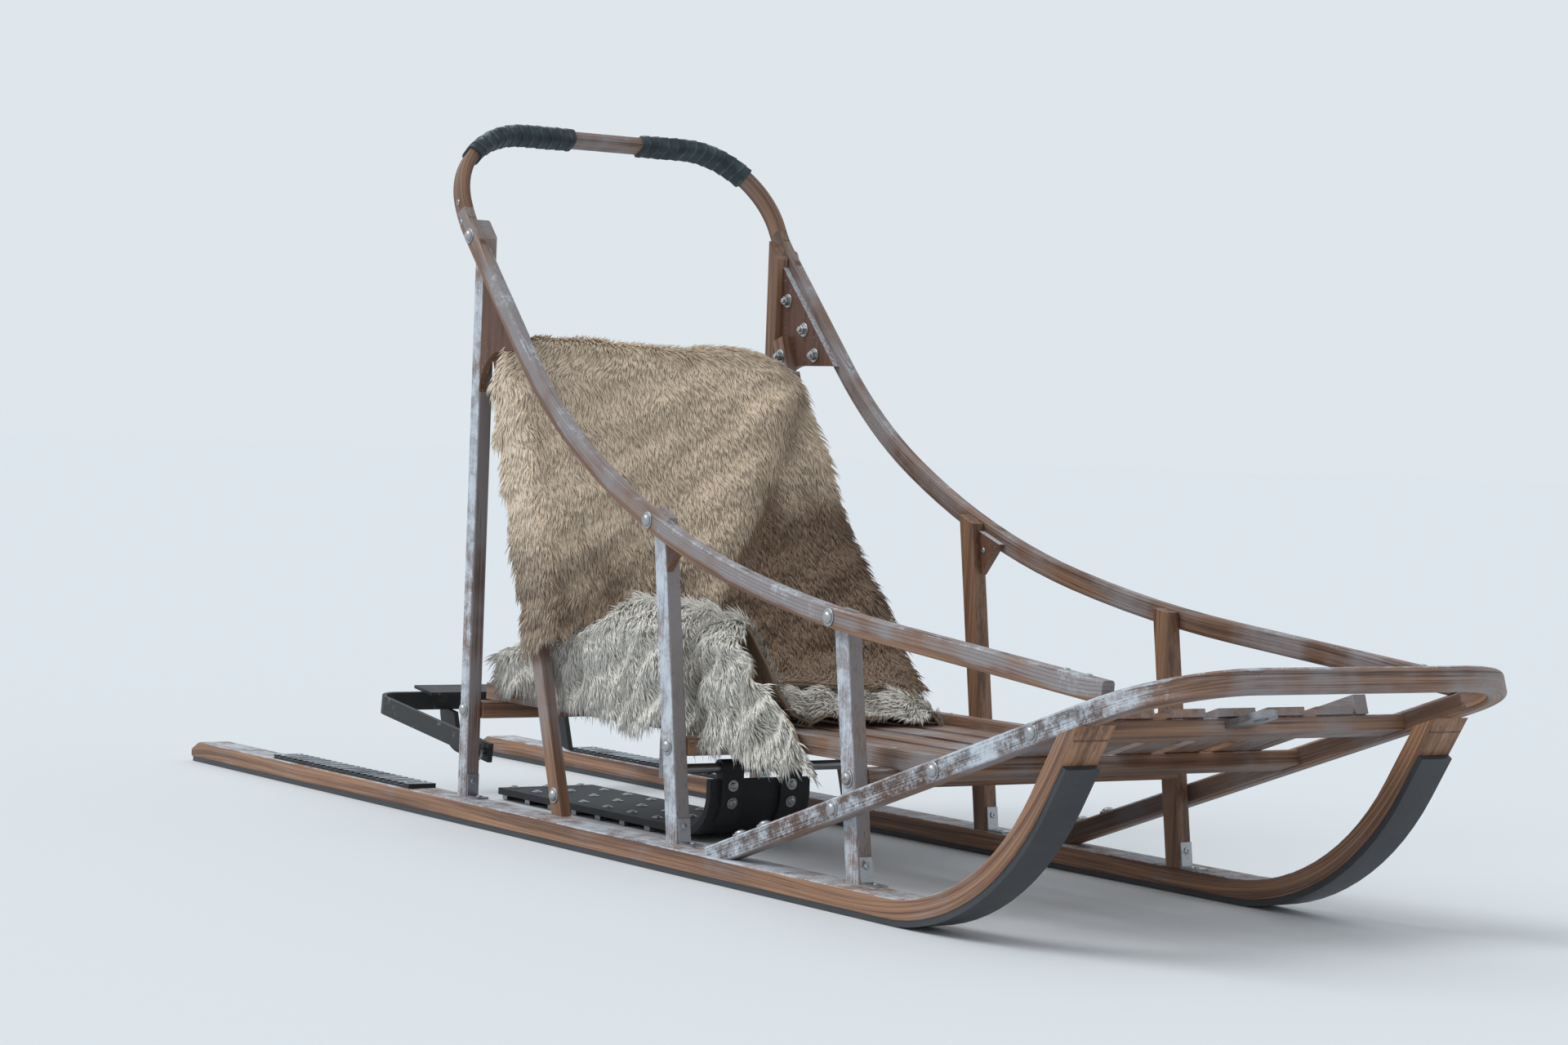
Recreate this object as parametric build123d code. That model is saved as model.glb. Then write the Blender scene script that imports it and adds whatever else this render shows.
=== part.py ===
from build123d import *
import os
from math import cos, degrees, radians, sin, sqrt, tan

# A Nordic touring dog sled of bent and laminated wood, in millimetres.
# +X is forward, +Y the sled's left and +Z up. The origin is on the ground, at the middle of its length.

# Width between the middles of the runners, and the lengths that add up to the whole sled
track = 550.0
tail_length = 875.0
rear_bay = 565.0
front_bay = 420.0
nose_length = 640.0

# Runners, with a plastic shoe under each and a rubber pad on each tail
runner_width = 56.0
runner_depth = 26.0
runner_bend_radius = 340.0
runner_tip_angle = 58.0
runner_tip_run = 170.0
runner_upturn_from_front = 510.0
shoe_width = 50.0
shoe_depth = 8.0
shoe_tip_run = 60.0
tail_chamfer = 14.0
pad_width = 46.0
pad_depth = 7.0
pad_length = 460.0
pad_behind_post = 110.0
pad_groove_width = 8.0
pad_groove_depth = 3.0
pad_groove_pitch = 20.0

# Posts, whose outer faces carry the side rails and the brush bow; the middle and front ones lean rearward
post_inset = 6.0
post_lean = 8.0
post_thickness = 22.0
rear_post_width = 26.0
post_width = 30.0
post_below_rail_top = 5.0
edge_rounding = 3.0

# Side rails and handle bow, one bent strip from the nose up to the hand grips
rail_thickness = 18.0
rail_depth = 28.0
rail_rounding = 5.0
bow_foot_height = 895.0
bow_set_back = 32.0
bow_lean = 30.0
bow_height = 144.0
bow_corner_radius = 136.0
bow_foot_radius = 150.0
rail_straight = 248.0
rail_straight_slope = 46.0
rail_shoulder_radius = 800.0
rail_belly_radius = 1420.0
rail_nose_radius = 2800.0
# columns: radius of the bend, slope of the rail below level after it
rail_bends = [
    (rail_shoulder_radius, 28.7),
    (rail_belly_radius, 12.0),
    (rail_nose_radius, 5.0),
]
wrap_thickness = 4.0
wrap_clearance = 0.3
wrap_gap_at_middle = 120.0
wrap_corner_turn = 48.0

# Corner plates between the posts and the rails
plate_thickness = 10.0
gusset_foot_height = 690.0
gusset_knee_radius = 60.0
knee_drop = 62.0
knee_reach = 48.0

# Bed of long slats on crossbars
bed_height = 174.0
crossbar_width = 40.0
crossbar_depth = 24.0
slat_count = 5
slat_width = 58.0
slat_gap = 20.0
slat_thickness = 10.0
slat_bend_radius = 300.0
slat_overhang = 20.0
stringer_width = 20.0
stringer_depth = 24.0
stringer_gap = 5.0

# Brush bow, a U that rises to the front outside the front posts
brush_slope = 18.4
brush_nose_height = 337.0
brush_width = 24.0
brush_depth = 28.0
brush_corner_radius = 125.0
brush_leg_from_front = 920.0
slope_bar_from_front = 430.0
nose_bar_from_front = 245.0
slope_bar_depth = 20.0

# Tow plate on the nose crossbar, with a bore through its face
eye_thickness = 8.0
eye_reach = 42.0
eye_outer_radius = 20.0
eye_bore_radius = 9.0

# Backrest that leans rearward between the side frames
backrest_foot_from_post = 262.0
backrest_lean = 18.5
backrest_leg_width = 26.0
backrest_leg_thickness = 16.0
backrest_leg_length = 735.0
backrest_board_height = 70.0
backrest_board_thickness = 12.0
backrest_board_overlap = 14.0
backrest_board_count = 3
backrest_first_board = 330.0
backrest_board_pitch = 155.0

# Brown hide, thrown over the backrest: its front hangs out to the seat on the left, falls steeply on the
# right and wraps the right leg there
hide_clearance = 0.3
brown_hide_side_gap = 2.0
brown_hide_thickness = 30.0
brown_hide_back_flap = 190.0
brown_hide_left_slope = 53.0
brown_hide_right_slope = 68.0
brown_hide_seat_bend = 110.0
brown_hide_seat_reach = 30.0
brown_wrap_thickness = 8.5
brown_wrap_top = 640.0
brown_wrap_hem = 300.0
brown_wrap_behind_leg = 12.0

# Pale hide, flat on the bed and heaped along the right side, with its hem below the bed
cream_hide_thickness = 40.0
cream_hide_rear_gap = 28.0
cream_hide_length = 560.0
cream_flap_thickness = 17.0
cream_heap_width = 118.0
cream_heap_rear_height = 262.0
cream_heap_crest_height = 347.0
cream_heap_crest_from_post = 340.0
cream_heap_crest_length = 250.0
cream_heap_length = 810.0
cream_hem_rear_height = 198.0
cream_hem_front_height = 140.0

# Claw brake, hinged on the rear posts
brake_pivot_height = 100.0
brake_pin_radius = 5.0
brake_pin_clearance = 0.3
brake_flange_radius = 14.0
brake_flange_thickness = 4.0
brake_bar_thickness = 7.0
brake_bar_depth = 28.0
brake_from_post = 13.0
brake_length = 360.0
brake_corner_radius = 34.0
brake_raise = 7.0
brake_eye_overrun = 16.0
brake_tread_width = 58.0
brake_tread_length = 300.0
brake_tread_thickness = 5.0
claw_spacing = 200.0
claw_thickness = 8.0
claw_drop = 60.0
claw_root = 46.0
claw_tip = 9.0
claw_forward = 30.0

# Drag mat, a rubber belt that hangs from a rod under the slats and trails on the ground
mat_rod_from_post = 385.0
mat_rod_height = 110.0
mat_rod_radius = 7.0
mat_rod_clearance = 0.3
mat_bracket_thickness = 6.0
mat_bracket_width = 30.0
mat_bracket_below_rod = 13.0
mat_width = 170.0
mat_below_rod = 16.0
mat_bend_radius = 60.0
mat_reach = 600.0
mat_thickness = 10.0
mat_ground_gap = 1.0
cleat_width = 14.0
cleat_height = 8.0
cleat_inset = 8.0
cleat_pitch = 70.0
cleat_count = 7
strap_width = 36.0
strap_spacing = 100.0
strap_thickness = 5.0
strap_wrap_turn = 40.0

# Steel angles at the feet of the posts
angle_length = 34.0
angle_thickness = 3.0
angle_width = 18.0

# Places that follow from the sizes above
sled_length = tail_length + rear_bay + front_bay + nose_length
tail_x = -sled_length / 2
front_x = sled_length / 2
rear_post_x = tail_x + tail_length
middle_post_x = rear_post_x + rear_bay
front_post_x = middle_post_x + front_bay
runner_top = shoe_depth + runner_depth
post_outer_y = track / 2 - post_inset
post_inner_y = post_outer_y - post_thickness
rail_middle_y = post_outer_y + rail_thickness / 2
brush_middle_y = post_outer_y + brush_width / 2
crossbar_middle_z = bed_height - crossbar_depth / 2
slope_bar_x = front_x - slope_bar_from_front
nose_bar_x = front_x - nose_bar_from_front
brush_tilt = radians(brush_slope)
slat_top = bed_height + slat_thickness
stringer_top = bed_height + stringer_depth
sides = {"left": 1, "right": -1}


def step(point, heading, length):
    """Move a point by a length along a heading in degrees."""
    return (point[0] + length * cos(radians(heading)), point[1] + length * sin(radians(heading)))


def follow(point, heading, size, turn):
    """End and heading of a path after one move: a run (length, 0) or a bend (radius, turn)."""
    if turn == 0:
        return step(point, heading, size), heading
    way = 1 if turn > 0 else -1
    centre = step(point, heading + 90 * way, size)
    return step(centre, heading - 90 * way + turn, size), heading + turn


def strip(start, heading, moves, low, high):
    """Outline between two lines that run at the offsets low and high, to the left of a path.

    A turn to the left is positive.
    """
    low_edges, high_edges = [], []
    point = start
    for size, turn in moves:
        side_point = {off: step(point, heading + 90, off) for off in (low, high)}
        if turn == 0:
            point = step(point, heading, size)
            for off, edges in ((low, low_edges), (high, high_edges)):
                edges.append(Line(side_point[off], step(point, heading + 90, off)))
            continue
        way = 1 if turn > 0 else -1
        centre = step(point, heading + 90 * way, size)
        for off, edges in ((low, low_edges), (high, high_edges)):
            radius = size - way * off
            middle = step(centre, heading - 90 * way + turn / 2, radius)
            end = step(centre, heading - 90 * way + turn, radius)
            edges.append(ThreePointArc(side_point[off], middle, end))
        point, heading = follow(point, heading, size, turn)
    caps = [Line(low_edges[0] @ 0, high_edges[0] @ 0), Line(low_edges[-1] @ 1, high_edges[-1] @ 1)]
    return make_face(low_edges + high_edges + caps)


def height_on(start, heading, moves, offset, x):
    """Height of the line at an offset from a path that runs forward, at a place x."""
    point = start
    for size, turn in moves:
        begin = step(point, heading + 90, offset)
        if turn == 0:
            point = step(point, heading, size)
            end = step(point, heading + 90, offset)
            if x <= end[0]:
                return begin[1] + (x - begin[0]) * (end[1] - begin[1]) / (end[0] - begin[0])
            continue
        centre = step(point, heading + 90, size)
        heading += turn
        point = step(centre, heading - 90, size)
        if x <= step(point, heading + 90, offset)[0]:
            return centre[1] - sqrt((size - offset) ** 2 - (x - centre[0]) ** 2)
    return end[1]


def side_slab(outline, y_one, y_two):
    """Slab between two values of Y with an outline in X and Z."""
    low, high = sorted((y_one, y_two))
    return extrude(Plane.XZ.offset(-high) * outline, amount=high - low)


def side_polygon(points):
    """Closed outline in X and Z through the points."""
    return make_face(Polyline(*points, close=True))


def block(x_low, x_high, y_low, y_high, z_low, z_high):
    """Box between two corners."""
    size = (x_high - x_low, y_high - y_low, z_high - z_low)
    middle = ((x_low + x_high) / 2, (y_low + y_high) / 2, (z_low + z_high) / 2)
    return Pos(*middle) * Box(*size)


def cross_rod(x, z, radius, y_one, y_two):
    """Round rod along Y."""
    low, high = sorted((y_one, y_two))
    return Pos(x, (low + high) / 2, z) * Rot(90, 0, 0) * Cylinder(radius, high - low)


def round_bar(bar, radius):
    """Round the edges that run along a bent bar. Each rounding goes on through the stretches that are tangent."""
    longest_of_end = 1.5 * rail_depth
    return fillet([edge for edge in bar.edges() if edge.length > longest_of_end], radius)


# The brush bow's middle plane, which the sloping bed and its crossbars follow
def brush_height(x):
    return brush_nose_height - (front_x - x) * tan(brush_tilt)


def brush_plane(x):
    """Plane in the slope of the brush bow, whose local X rises forward."""
    return Plane((x, 0, brush_height(x)), x_dir=(cos(brush_tilt), 0, sin(brush_tilt)),
                 z_dir=(-sin(brush_tilt), 0, cos(brush_tilt)))


def far_side_of_brush(start_x, distance, above):
    """Large outline forward of a place, above or below the line at a distance from the brush bow's plane."""
    rise = distance / cos(brush_tilt)
    reach = sled_length if above else -sled_length
    start, end = (start_x, brush_height(start_x) + rise), (front_x, brush_height(front_x) + rise)
    return side_polygon([start, end, (front_x, end[1] + reach), (start_x, start[1] + reach)])


# Runners, bent up at the front until they meet the brush bow from below
runner_start = (tail_x, shoe_depth + runner_depth / 2)
runner_straight = front_x - runner_upturn_from_front - tail_x


def runner_outline(low, high, tip_run):
    moves = [(runner_straight, 0), (runner_bend_radius, runner_tip_angle), (tip_run, 0)]
    return strip(runner_start, 0, moves, low, high)


def make_runner(side):
    outline = runner_outline(-runner_depth / 2, runner_depth / 2, runner_tip_run)
    middle = side * track / 2
    y_low, y_high = middle - runner_width / 2, middle + runner_width / 2
    runner = side_slab(outline, y_low, y_high)
    runner = fillet([edge for edge in runner.edges() if edge.length > runner_width], edge_rounding)
    waste = far_side_of_brush(tail_x + runner_straight, -brush_depth / 2, above=True)
    waste += side_polygon([
        (tail_x, runner_top - tail_chamfer),
        (tail_x, runner_top),
        (tail_x + 2 * tail_chamfer, runner_top),
    ])
    return runner - side_slab(waste, y_low, y_high)


def make_shoe(side):
    outline = runner_outline(-runner_depth / 2 - shoe_depth, -runner_depth / 2, shoe_tip_run)
    middle = side * track / 2
    return side_slab(outline, middle - shoe_width / 2, middle + shoe_width / 2)


def make_foot_pad(side):
    pad_front = rear_post_x - pad_behind_post
    middle = side * track / 2
    y_low, y_high = middle - pad_width / 2, middle + pad_width / 2
    pad_top = runner_top + pad_depth
    pad = block(pad_front - pad_length, pad_front, y_low, y_high, runner_top, pad_top)
    groove_x = pad_front - pad_groove_pitch
    while groove_x - pad_groove_width > pad_front - pad_length:
        pad -= block(groove_x - pad_groove_width, groove_x, y_low, y_high, pad_top - pad_groove_depth, pad_top)
        groove_x -= pad_groove_pitch
    return pad


# Side rail: a steep foot under the handle bow, a straight slope, then ever flatter bends to the nose
def rail_moves():
    slope = 90 - bow_lean
    moves = [(bow_foot_radius, slope - rail_straight_slope), (rail_straight, 0)]
    point, heading = rail_start, -slope
    for size, turn in moves:
        point, heading = follow(point, heading, size, turn)
    slope = rail_straight_slope
    for radius, next_slope in rail_bends:
        moves.append((radius, slope - next_slope))
        point, heading = follow(point, heading, radius, slope - next_slope)
        slope = next_slope
    moves.append(((rail_end_x - point[0]) / cos(radians(slope)), 0))
    return moves


rail_start = (rear_post_x - bow_set_back, bow_foot_height)
rail_end_x = front_x - brush_width / 2 - brush_corner_radius * cos(brush_tilt)
rail_heading = bow_lean - 90
rail_path = rail_moves()


def make_side_rail(side):
    outline = strip(rail_start, rail_heading, rail_path, -rail_depth / 2, rail_depth / 2)
    y_one, y_two = side * post_outer_y, side * (post_outer_y + rail_thickness)
    rail = round_bar(side_slab(outline, y_one, y_two), rail_rounding)
    return rail - side_slab(far_side_of_brush(front_post_x, brush_depth / 2, above=False), y_one, y_two)


# Handle bow: a U in a plane that leans rearward, on the upper ends of the two rails
lean = radians(bow_lean)
bow_plane = Plane((rail_start[0], 0, rail_start[1]), x_dir=(0, 1, 0), z_dir=(cos(lean), 0, sin(lean)))
bow_leg = bow_height - bow_corner_radius
bow_top_run = 2 * (rail_middle_y - bow_corner_radius)


def make_handle_bow():
    moves = [(bow_leg, 0), (bow_corner_radius, -90), (bow_top_run, 0), (bow_corner_radius, -90), (bow_leg, 0)]
    outline = strip((-rail_middle_y, 0), 90, moves, -rail_thickness / 2, rail_thickness / 2)
    return round_bar(extrude(bow_plane * outline, amount=rail_depth / 2, both=True), rail_rounding)


def wrap_core(grow, overrun):
    """Stretch of the bow from part way round its corner to the bare middle, grown all round."""
    turn = wrap_corner_turn + degrees(overrun / bow_corner_radius)
    corner_centre = (bow_corner_radius - rail_middle_y, bow_leg)
    start = step(corner_centre, 90 + turn, bow_corner_radius)
    moves = [(bow_corner_radius, -turn), ((bow_top_run - wrap_gap_at_middle) / 2 + overrun, 0)]
    half = rail_thickness / 2 + grow
    outline = strip(start, turn, moves, -half, half)
    core = extrude(bow_plane * outline, amount=rail_depth / 2 + grow, both=True)
    return round_bar(core, rail_rounding + grow)


def make_grip_wrap(side):
    wrap = wrap_core(wrap_clearance + wrap_thickness, 0) - wrap_core(wrap_clearance, wrap_thickness)
    return wrap if side < 0 else mirror(wrap, about=Plane.XZ)


# Posts, cut to the slope of the rail that they carry
def rail_height(x, offset):
    return height_on(rail_start, rail_heading, rail_path, offset, x)


def post_edge(edge_x, z, lean):
    """Place at a height on the edge of a leaning post; edge_x is the edge's place at the crossbar."""
    return (edge_x - (z - crossbar_middle_z) * tan(radians(lean)), z)


def post_top(edge_x, offset, lean):
    """Where that edge meets a line along the rail; each round closes in on it."""
    point = (edge_x, bed_height)
    for _ in range(12):
        point = post_edge(edge_x, rail_height(point[0], offset), lean)
    return point


def make_post(x, width, lean, side):
    offset = rail_depth / 2 - post_below_rail_top
    x_low, x_high = x - width / 2, x + width / 2
    outline = side_polygon([
        post_edge(x_low, runner_top, lean),
        post_edge(x_high, runner_top, lean),
        post_top(x_high, offset, lean),
        post_top(x_low, offset, lean),
    ])
    post = side_slab(outline, side * post_inner_y, side * post_outer_y)
    return fillet([edge for edge in post.edges() if edge.length > 2 * post_width], edge_rounding)


def make_gusset(side):
    """Plate in the corner between the rear post and the rail, with a hollow knee down the post."""
    post_front = rear_post_x + rear_post_width / 2
    room_front, room_top = post_front + sled_length, gusset_foot_height + sled_length
    room = side_polygon([
        (post_front, gusset_foot_height),
        (room_front, gusset_foot_height),
        (room_front, room_top),
        (post_front, room_top),
    ])
    plate = room & strip(rail_start, rail_heading, rail_path, -bow_foot_height, 0)
    knee_front, knee_foot = post_front + gusset_knee_radius, gusset_foot_height - gusset_knee_radius
    knee = side_polygon([
        (post_front, knee_foot),
        (knee_front, knee_foot),
        (knee_front, gusset_foot_height),
        (post_front, gusset_foot_height),
    ])
    knee -= Pos(knee_front, knee_foot) * Circle(gusset_knee_radius)
    return side_slab(plate + knee, side * (post_outer_y - plate_thickness), side * post_outer_y)


def make_rail_knee(side):
    """Small triangle between the middle post's front face and the rail."""
    post_front = middle_post_x + post_width / 2
    top = post_top(post_front, 0, post_lean)
    knee_front = top[0] + knee_reach
    outline = side_polygon([
        post_edge(post_front, top[1] - knee_drop, post_lean),
        (knee_front, rail_height(knee_front, 0)),
        top,
    ])
    return side_slab(outline, side * (post_outer_y - plate_thickness), side * post_outer_y)


# Brush bow and the crossbars in its slope
def make_brush_bow():
    tilt_length = 1 / cos(brush_tilt)
    plane = brush_plane(0)
    nose = (front_x - brush_depth / 2 * sin(brush_tilt)) * tilt_length - brush_width / 2
    start = ((front_x - brush_leg_from_front) * tilt_length, -brush_middle_y)
    leg_run = nose - brush_corner_radius - start[0]
    front_run = 2 * (brush_middle_y - brush_corner_radius)
    moves = [(leg_run, 0), (brush_corner_radius, 90), (front_run, 0), (brush_corner_radius, 90), (leg_run, 0)]
    outline = strip(start, 0, moves, -brush_width / 2, brush_width / 2)
    bow = round_bar(extrude(plane * outline, amount=brush_depth / 2, both=True), rail_rounding)
    return bow - block(0, front_x, -track, track, -track, runner_top)


def make_slope_bar(x):
    """Crossbar between the legs of the brush bow, turned to its slope."""
    bar = brush_plane(x) * Box(crossbar_width, 2 * post_outer_y, slope_bar_depth)
    return fillet(bar.edges().filter_by(Axis.Y), edge_rounding)


def make_crossbar(x):
    half = crossbar_width / 2
    bar = block(x - half, x + half, -post_inner_y, post_inner_y, bed_height - crossbar_depth, bed_height)
    return fillet(bar.edges().filter_by(Axis.Y), edge_rounding)


def make_tow_eye():
    """Flat plate in the bow's slope, round at its free end, where the bore goes through its face."""
    root = crossbar_width / 2
    body = Pos(root + eye_reach / 2, 0, 0) * Box(eye_reach, 2 * eye_outer_radius, eye_thickness)
    end = Pos(root + eye_reach, 0, 0) * Cylinder(eye_outer_radius, eye_thickness)
    bore = Pos(root + eye_reach, 0, 0) * Cylinder(eye_bore_radius, 2 * eye_thickness)
    return brush_plane(nose_bar_x) * (body + end - bore)


# Bed slats and stringers, bent up at the front with the brush bow
def bed_strip(high):
    rise = slope_bar_depth / 2 / cos(brush_tilt)
    corner_x = front_x - (brush_nose_height + rise - bed_height) / tan(brush_tilt)
    tangent = slat_bend_radius * tan(brush_tilt / 2)
    start_x = rear_post_x - crossbar_width / 2 - slat_overhang
    end_x = nose_bar_x + crossbar_width / 2 * cos(brush_tilt)
    slope_run = (end_x - corner_x) / cos(brush_tilt) - tangent
    moves = [(corner_x - tangent - start_x, 0), (slat_bend_radius, brush_slope), (slope_run, 0)]
    return strip((start_x, bed_height), 0, moves, 0, high)


slats_width = slat_count * slat_width + (slat_count - 1) * slat_gap
stringer_inner_y = slats_width / 2 + stringer_gap
stringer_outer_y = stringer_inner_y + stringer_width


def make_bed_slats():
    outline = bed_strip(slat_thickness)
    slats = []
    for index in range(slat_count):
        y_low = -slats_width / 2 + index * (slat_width + slat_gap)
        slats.append(side_slab(outline, y_low, y_low + slat_width))
    return Compound(children=slats)


def make_bed_stringer(side):
    return side_slab(bed_strip(stringer_depth), side * stringer_inner_y, side * stringer_outer_y)


# Backrest: two leaning legs on the runners, with boards across their front faces
backrest_tilt = radians(backrest_lean)
backrest_foot = (rear_post_x + backrest_foot_from_post, runner_top)
leg_inner_y = post_outer_y - plate_thickness - backrest_leg_thickness


def backrest_point(along, forward):
    """Place in X and Z, by the distance up the leg's middle line and forward of it."""
    foot_x, foot_z = backrest_foot
    return (foot_x - along * sin(backrest_tilt) + forward * cos(backrest_tilt),
            foot_z + along * cos(backrest_tilt) + forward * sin(backrest_tilt))


def make_backrest_leg(side):
    half = backrest_leg_width / 2
    start = backrest_point(-backrest_leg_width, 0)
    outline = strip(start, 90 + backrest_lean, [(backrest_leg_length + backrest_leg_width, 0)], -half, half)
    outline -= side_polygon([
        (0, runner_top),
        (rear_post_x, runner_top),
        (rear_post_x, -runner_top),
        (0, -runner_top),
    ])
    return side_slab(outline, side * leg_inner_y, side * (leg_inner_y + backrest_leg_thickness))


def make_backrest_boards():
    boards = []
    width = 2 * (leg_inner_y + backrest_board_overlap)
    for index in range(backrest_board_count):
        along = backrest_first_board + index * backrest_board_pitch
        x, z = backrest_point(along, (backrest_leg_width + backrest_board_thickness) / 2)
        board = Box(backrest_board_thickness, width, backrest_board_height)
        boards.append(Pos(x, 0, z) * Rot(0, -backrest_lean, 0) * fillet(board.edges().filter_by(Axis.Y), edge_rounding))
    return Compound(children=boards)


# Pale hide: flat on the bed, and heaped along the right side down to its hem
def make_cream_hide():
    start_x = rear_post_x + cream_hide_rear_gap
    heap_end = start_x + cream_heap_length
    crest_start = rear_post_x + cream_heap_crest_from_post
    heap_outline = side_polygon([
        (start_x, cream_hem_rear_height),
        (heap_end, cream_hem_front_height),
        (crest_start + cream_heap_crest_length, cream_heap_crest_height),
        (crest_start, cream_heap_crest_height),
        (start_x, cream_heap_rear_height),
    ])
    slat_side = stringer_inner_y - hide_clearance
    flap_inner = stringer_outer_y + hide_clearance
    flap_outer = flap_inner + cream_flap_thickness
    bed_top = slat_top + hide_clearance
    heap = side_slab(heap_outline, cream_heap_width - flap_outer, -flap_outer)
    heap -= block(start_x, heap_end, -slat_side, track, 0, bed_top)
    heap -= block(start_x, heap_end, -flap_inner, -slat_side, 0, stringer_top + hide_clearance)
    bar_half = crossbar_width / 2 + hide_clearance
    bar_top = bed_height + hide_clearance
    heap -= block(middle_post_x - bar_half, middle_post_x + bar_half, -track, 0, 0, bar_top)
    return heap + block(start_x, start_x + cream_hide_length, -slat_side, slat_side, bed_top,
                        bed_top + cream_hide_thickness)


# Brown hide: from behind the boards over the top one, down a slope of its own and onto the pale hide
brown_half = brown_hide_thickness / 2
brown_behind = backrest_leg_width / 2 - hide_clearance - brown_half
brown_ahead = backrest_leg_width / 2 + backrest_board_thickness + hide_clearance + brown_half


def brown_hide_moves(slope):
    """Moves along the hide's middle line from its rear hem, and the place where its slope starts."""
    last_board = backrest_first_board + (backrest_board_count - 1) * backrest_board_pitch
    top = last_board + backrest_board_height / 2 + hide_clearance
    start = backrest_point(top - brown_hide_back_flap, brown_behind)
    moves = [
        (brown_hide_back_flap, 0),
        ((brown_ahead - brown_behind) / 2, -90 - backrest_lean - slope),
    ]
    slope_start, heading = start, 90 + backrest_lean
    for size, turn in moves:
        slope_start, heading = follow(slope_start, heading, size, turn)
    seat = slat_top + cream_hide_thickness + 2 * hide_clearance + brown_half
    bend_drop = brown_hide_seat_bend * (1 - cos(radians(slope)))
    slope_run = (slope_start[1] - seat - bend_drop) / sin(radians(slope))
    moves += [
        (slope_run, 0),
        (brown_hide_seat_bend, slope),
        (brown_hide_seat_reach, 0),
    ]
    return start, moves, slope_start


def make_brown_hide():
    half_width = leg_inner_y - brown_hide_side_gap
    sections = []
    for side, slope in (("right", brown_hide_right_slope), ("left", brown_hide_left_slope)):
        start, moves, _ = brown_hide_moves(slope)
        outline = strip(start, 90 + backrest_lean, moves, -brown_half, brown_half)
        sections.append(Plane.XZ.offset(-sides[side] * half_width) * outline)
    hide = loft(sections, ruled=True) + make_brown_wrap(half_width)
    heap_outer = stringer_outer_y + 2 * hide_clearance + cream_flap_thickness
    heap_inner = stringer_outer_y + cream_flap_thickness - cream_heap_width
    heap_start = rear_post_x + cream_hide_rear_gap
    heap_room = side_polygon([
        (heap_start, 0),
        (front_x, 0),
        (front_x, cream_heap_crest_height + hide_clearance),
        (rear_post_x + cream_heap_crest_from_post, cream_heap_crest_height + hide_clearance),
        (heap_start, cream_heap_rear_height + hide_clearance),
    ])
    hide -= side_slab(heap_room, -heap_outer, -heap_inner)
    return hide - block(rear_post_x, front_x, -track, -heap_outer, 0, brown_wrap_hem)


def make_brown_wrap(half_width):
    """The hide's right edge: in front of the right leg, then rearward along the leg's outer face."""
    _, _, slope_start = brown_hide_moves(brown_hide_right_slope)
    across = brown_half / sin(radians(brown_hide_right_slope))
    behind_leg = -backrest_leg_width / 2 - brown_wrap_behind_leg
    front_of = {}
    back_of = {}
    for z in (brown_wrap_top, brown_wrap_hem):
        front_of[z] = slope_start[0] + (slope_start[1] - z) / tan(radians(brown_hide_right_slope))
        back_of[z] = backrest_foot[0] - (z - backrest_foot[1]) * tan(backrest_tilt) + behind_leg / cos(backrest_tilt)
    front_outline = side_polygon([
        (front_of[brown_wrap_top] - across, brown_wrap_top),
        (front_of[brown_wrap_top] + across, brown_wrap_top),
        (front_of[brown_wrap_hem] + across, brown_wrap_hem),
        (front_of[brown_wrap_hem] - across, brown_wrap_hem),
    ])
    side_outline = side_polygon([
        (back_of[brown_wrap_top], brown_wrap_top),
        (front_of[brown_wrap_top], brown_wrap_top),
        (front_of[brown_wrap_hem], brown_wrap_hem),
        (back_of[brown_wrap_hem], brown_wrap_hem),
    ])
    wrap_inner = leg_inner_y + backrest_leg_thickness + hide_clearance
    wrap_outer = wrap_inner + brown_wrap_thickness
    return (side_slab(front_outline, -wrap_outer, -half_width + brown_hide_side_gap)
            + side_slab(side_outline, -wrap_outer, -wrap_inner))


# Claw brake: a flat bar bent to a U, on pins at the rear posts
brake_tilt = radians(brake_raise)
brake_outer_y = post_inner_y - brake_from_post
brake_plane = Plane((rear_post_x, 0, brake_pivot_height), x_dir=(-cos(brake_tilt), 0, sin(brake_tilt)),
                    z_dir=(sin(brake_tilt), 0, cos(brake_tilt)))
brake_bar_middle = brake_length - brake_bar_thickness / 2


def make_brake_bow():
    middle_y = brake_outer_y - brake_bar_thickness / 2
    leg_run = brake_bar_middle - brake_corner_radius + brake_eye_overrun
    moves = [
        (leg_run, 0),
        (brake_corner_radius, 90),
        (2 * (middle_y - brake_corner_radius), 0),
        (brake_corner_radius, 90),
        (leg_run, 0),
    ]
    outline = strip((-brake_eye_overrun, -middle_y), 0, moves, -brake_bar_thickness / 2, brake_bar_thickness / 2)
    bow = extrude(brake_plane * outline, amount=brake_bar_depth / 2, both=True)
    tread_middle = (brake_bar_middle, 0, (brake_bar_depth + brake_tread_thickness) / 2)
    tread = brake_plane * Pos(*tread_middle) * Box(brake_tread_width, brake_tread_length, brake_tread_thickness)
    bore_radius = brake_pin_radius + brake_pin_clearance
    bore = cross_rod(rear_post_x, brake_pivot_height, bore_radius, -track / 2, track / 2)
    return bow + tread - bore


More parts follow.
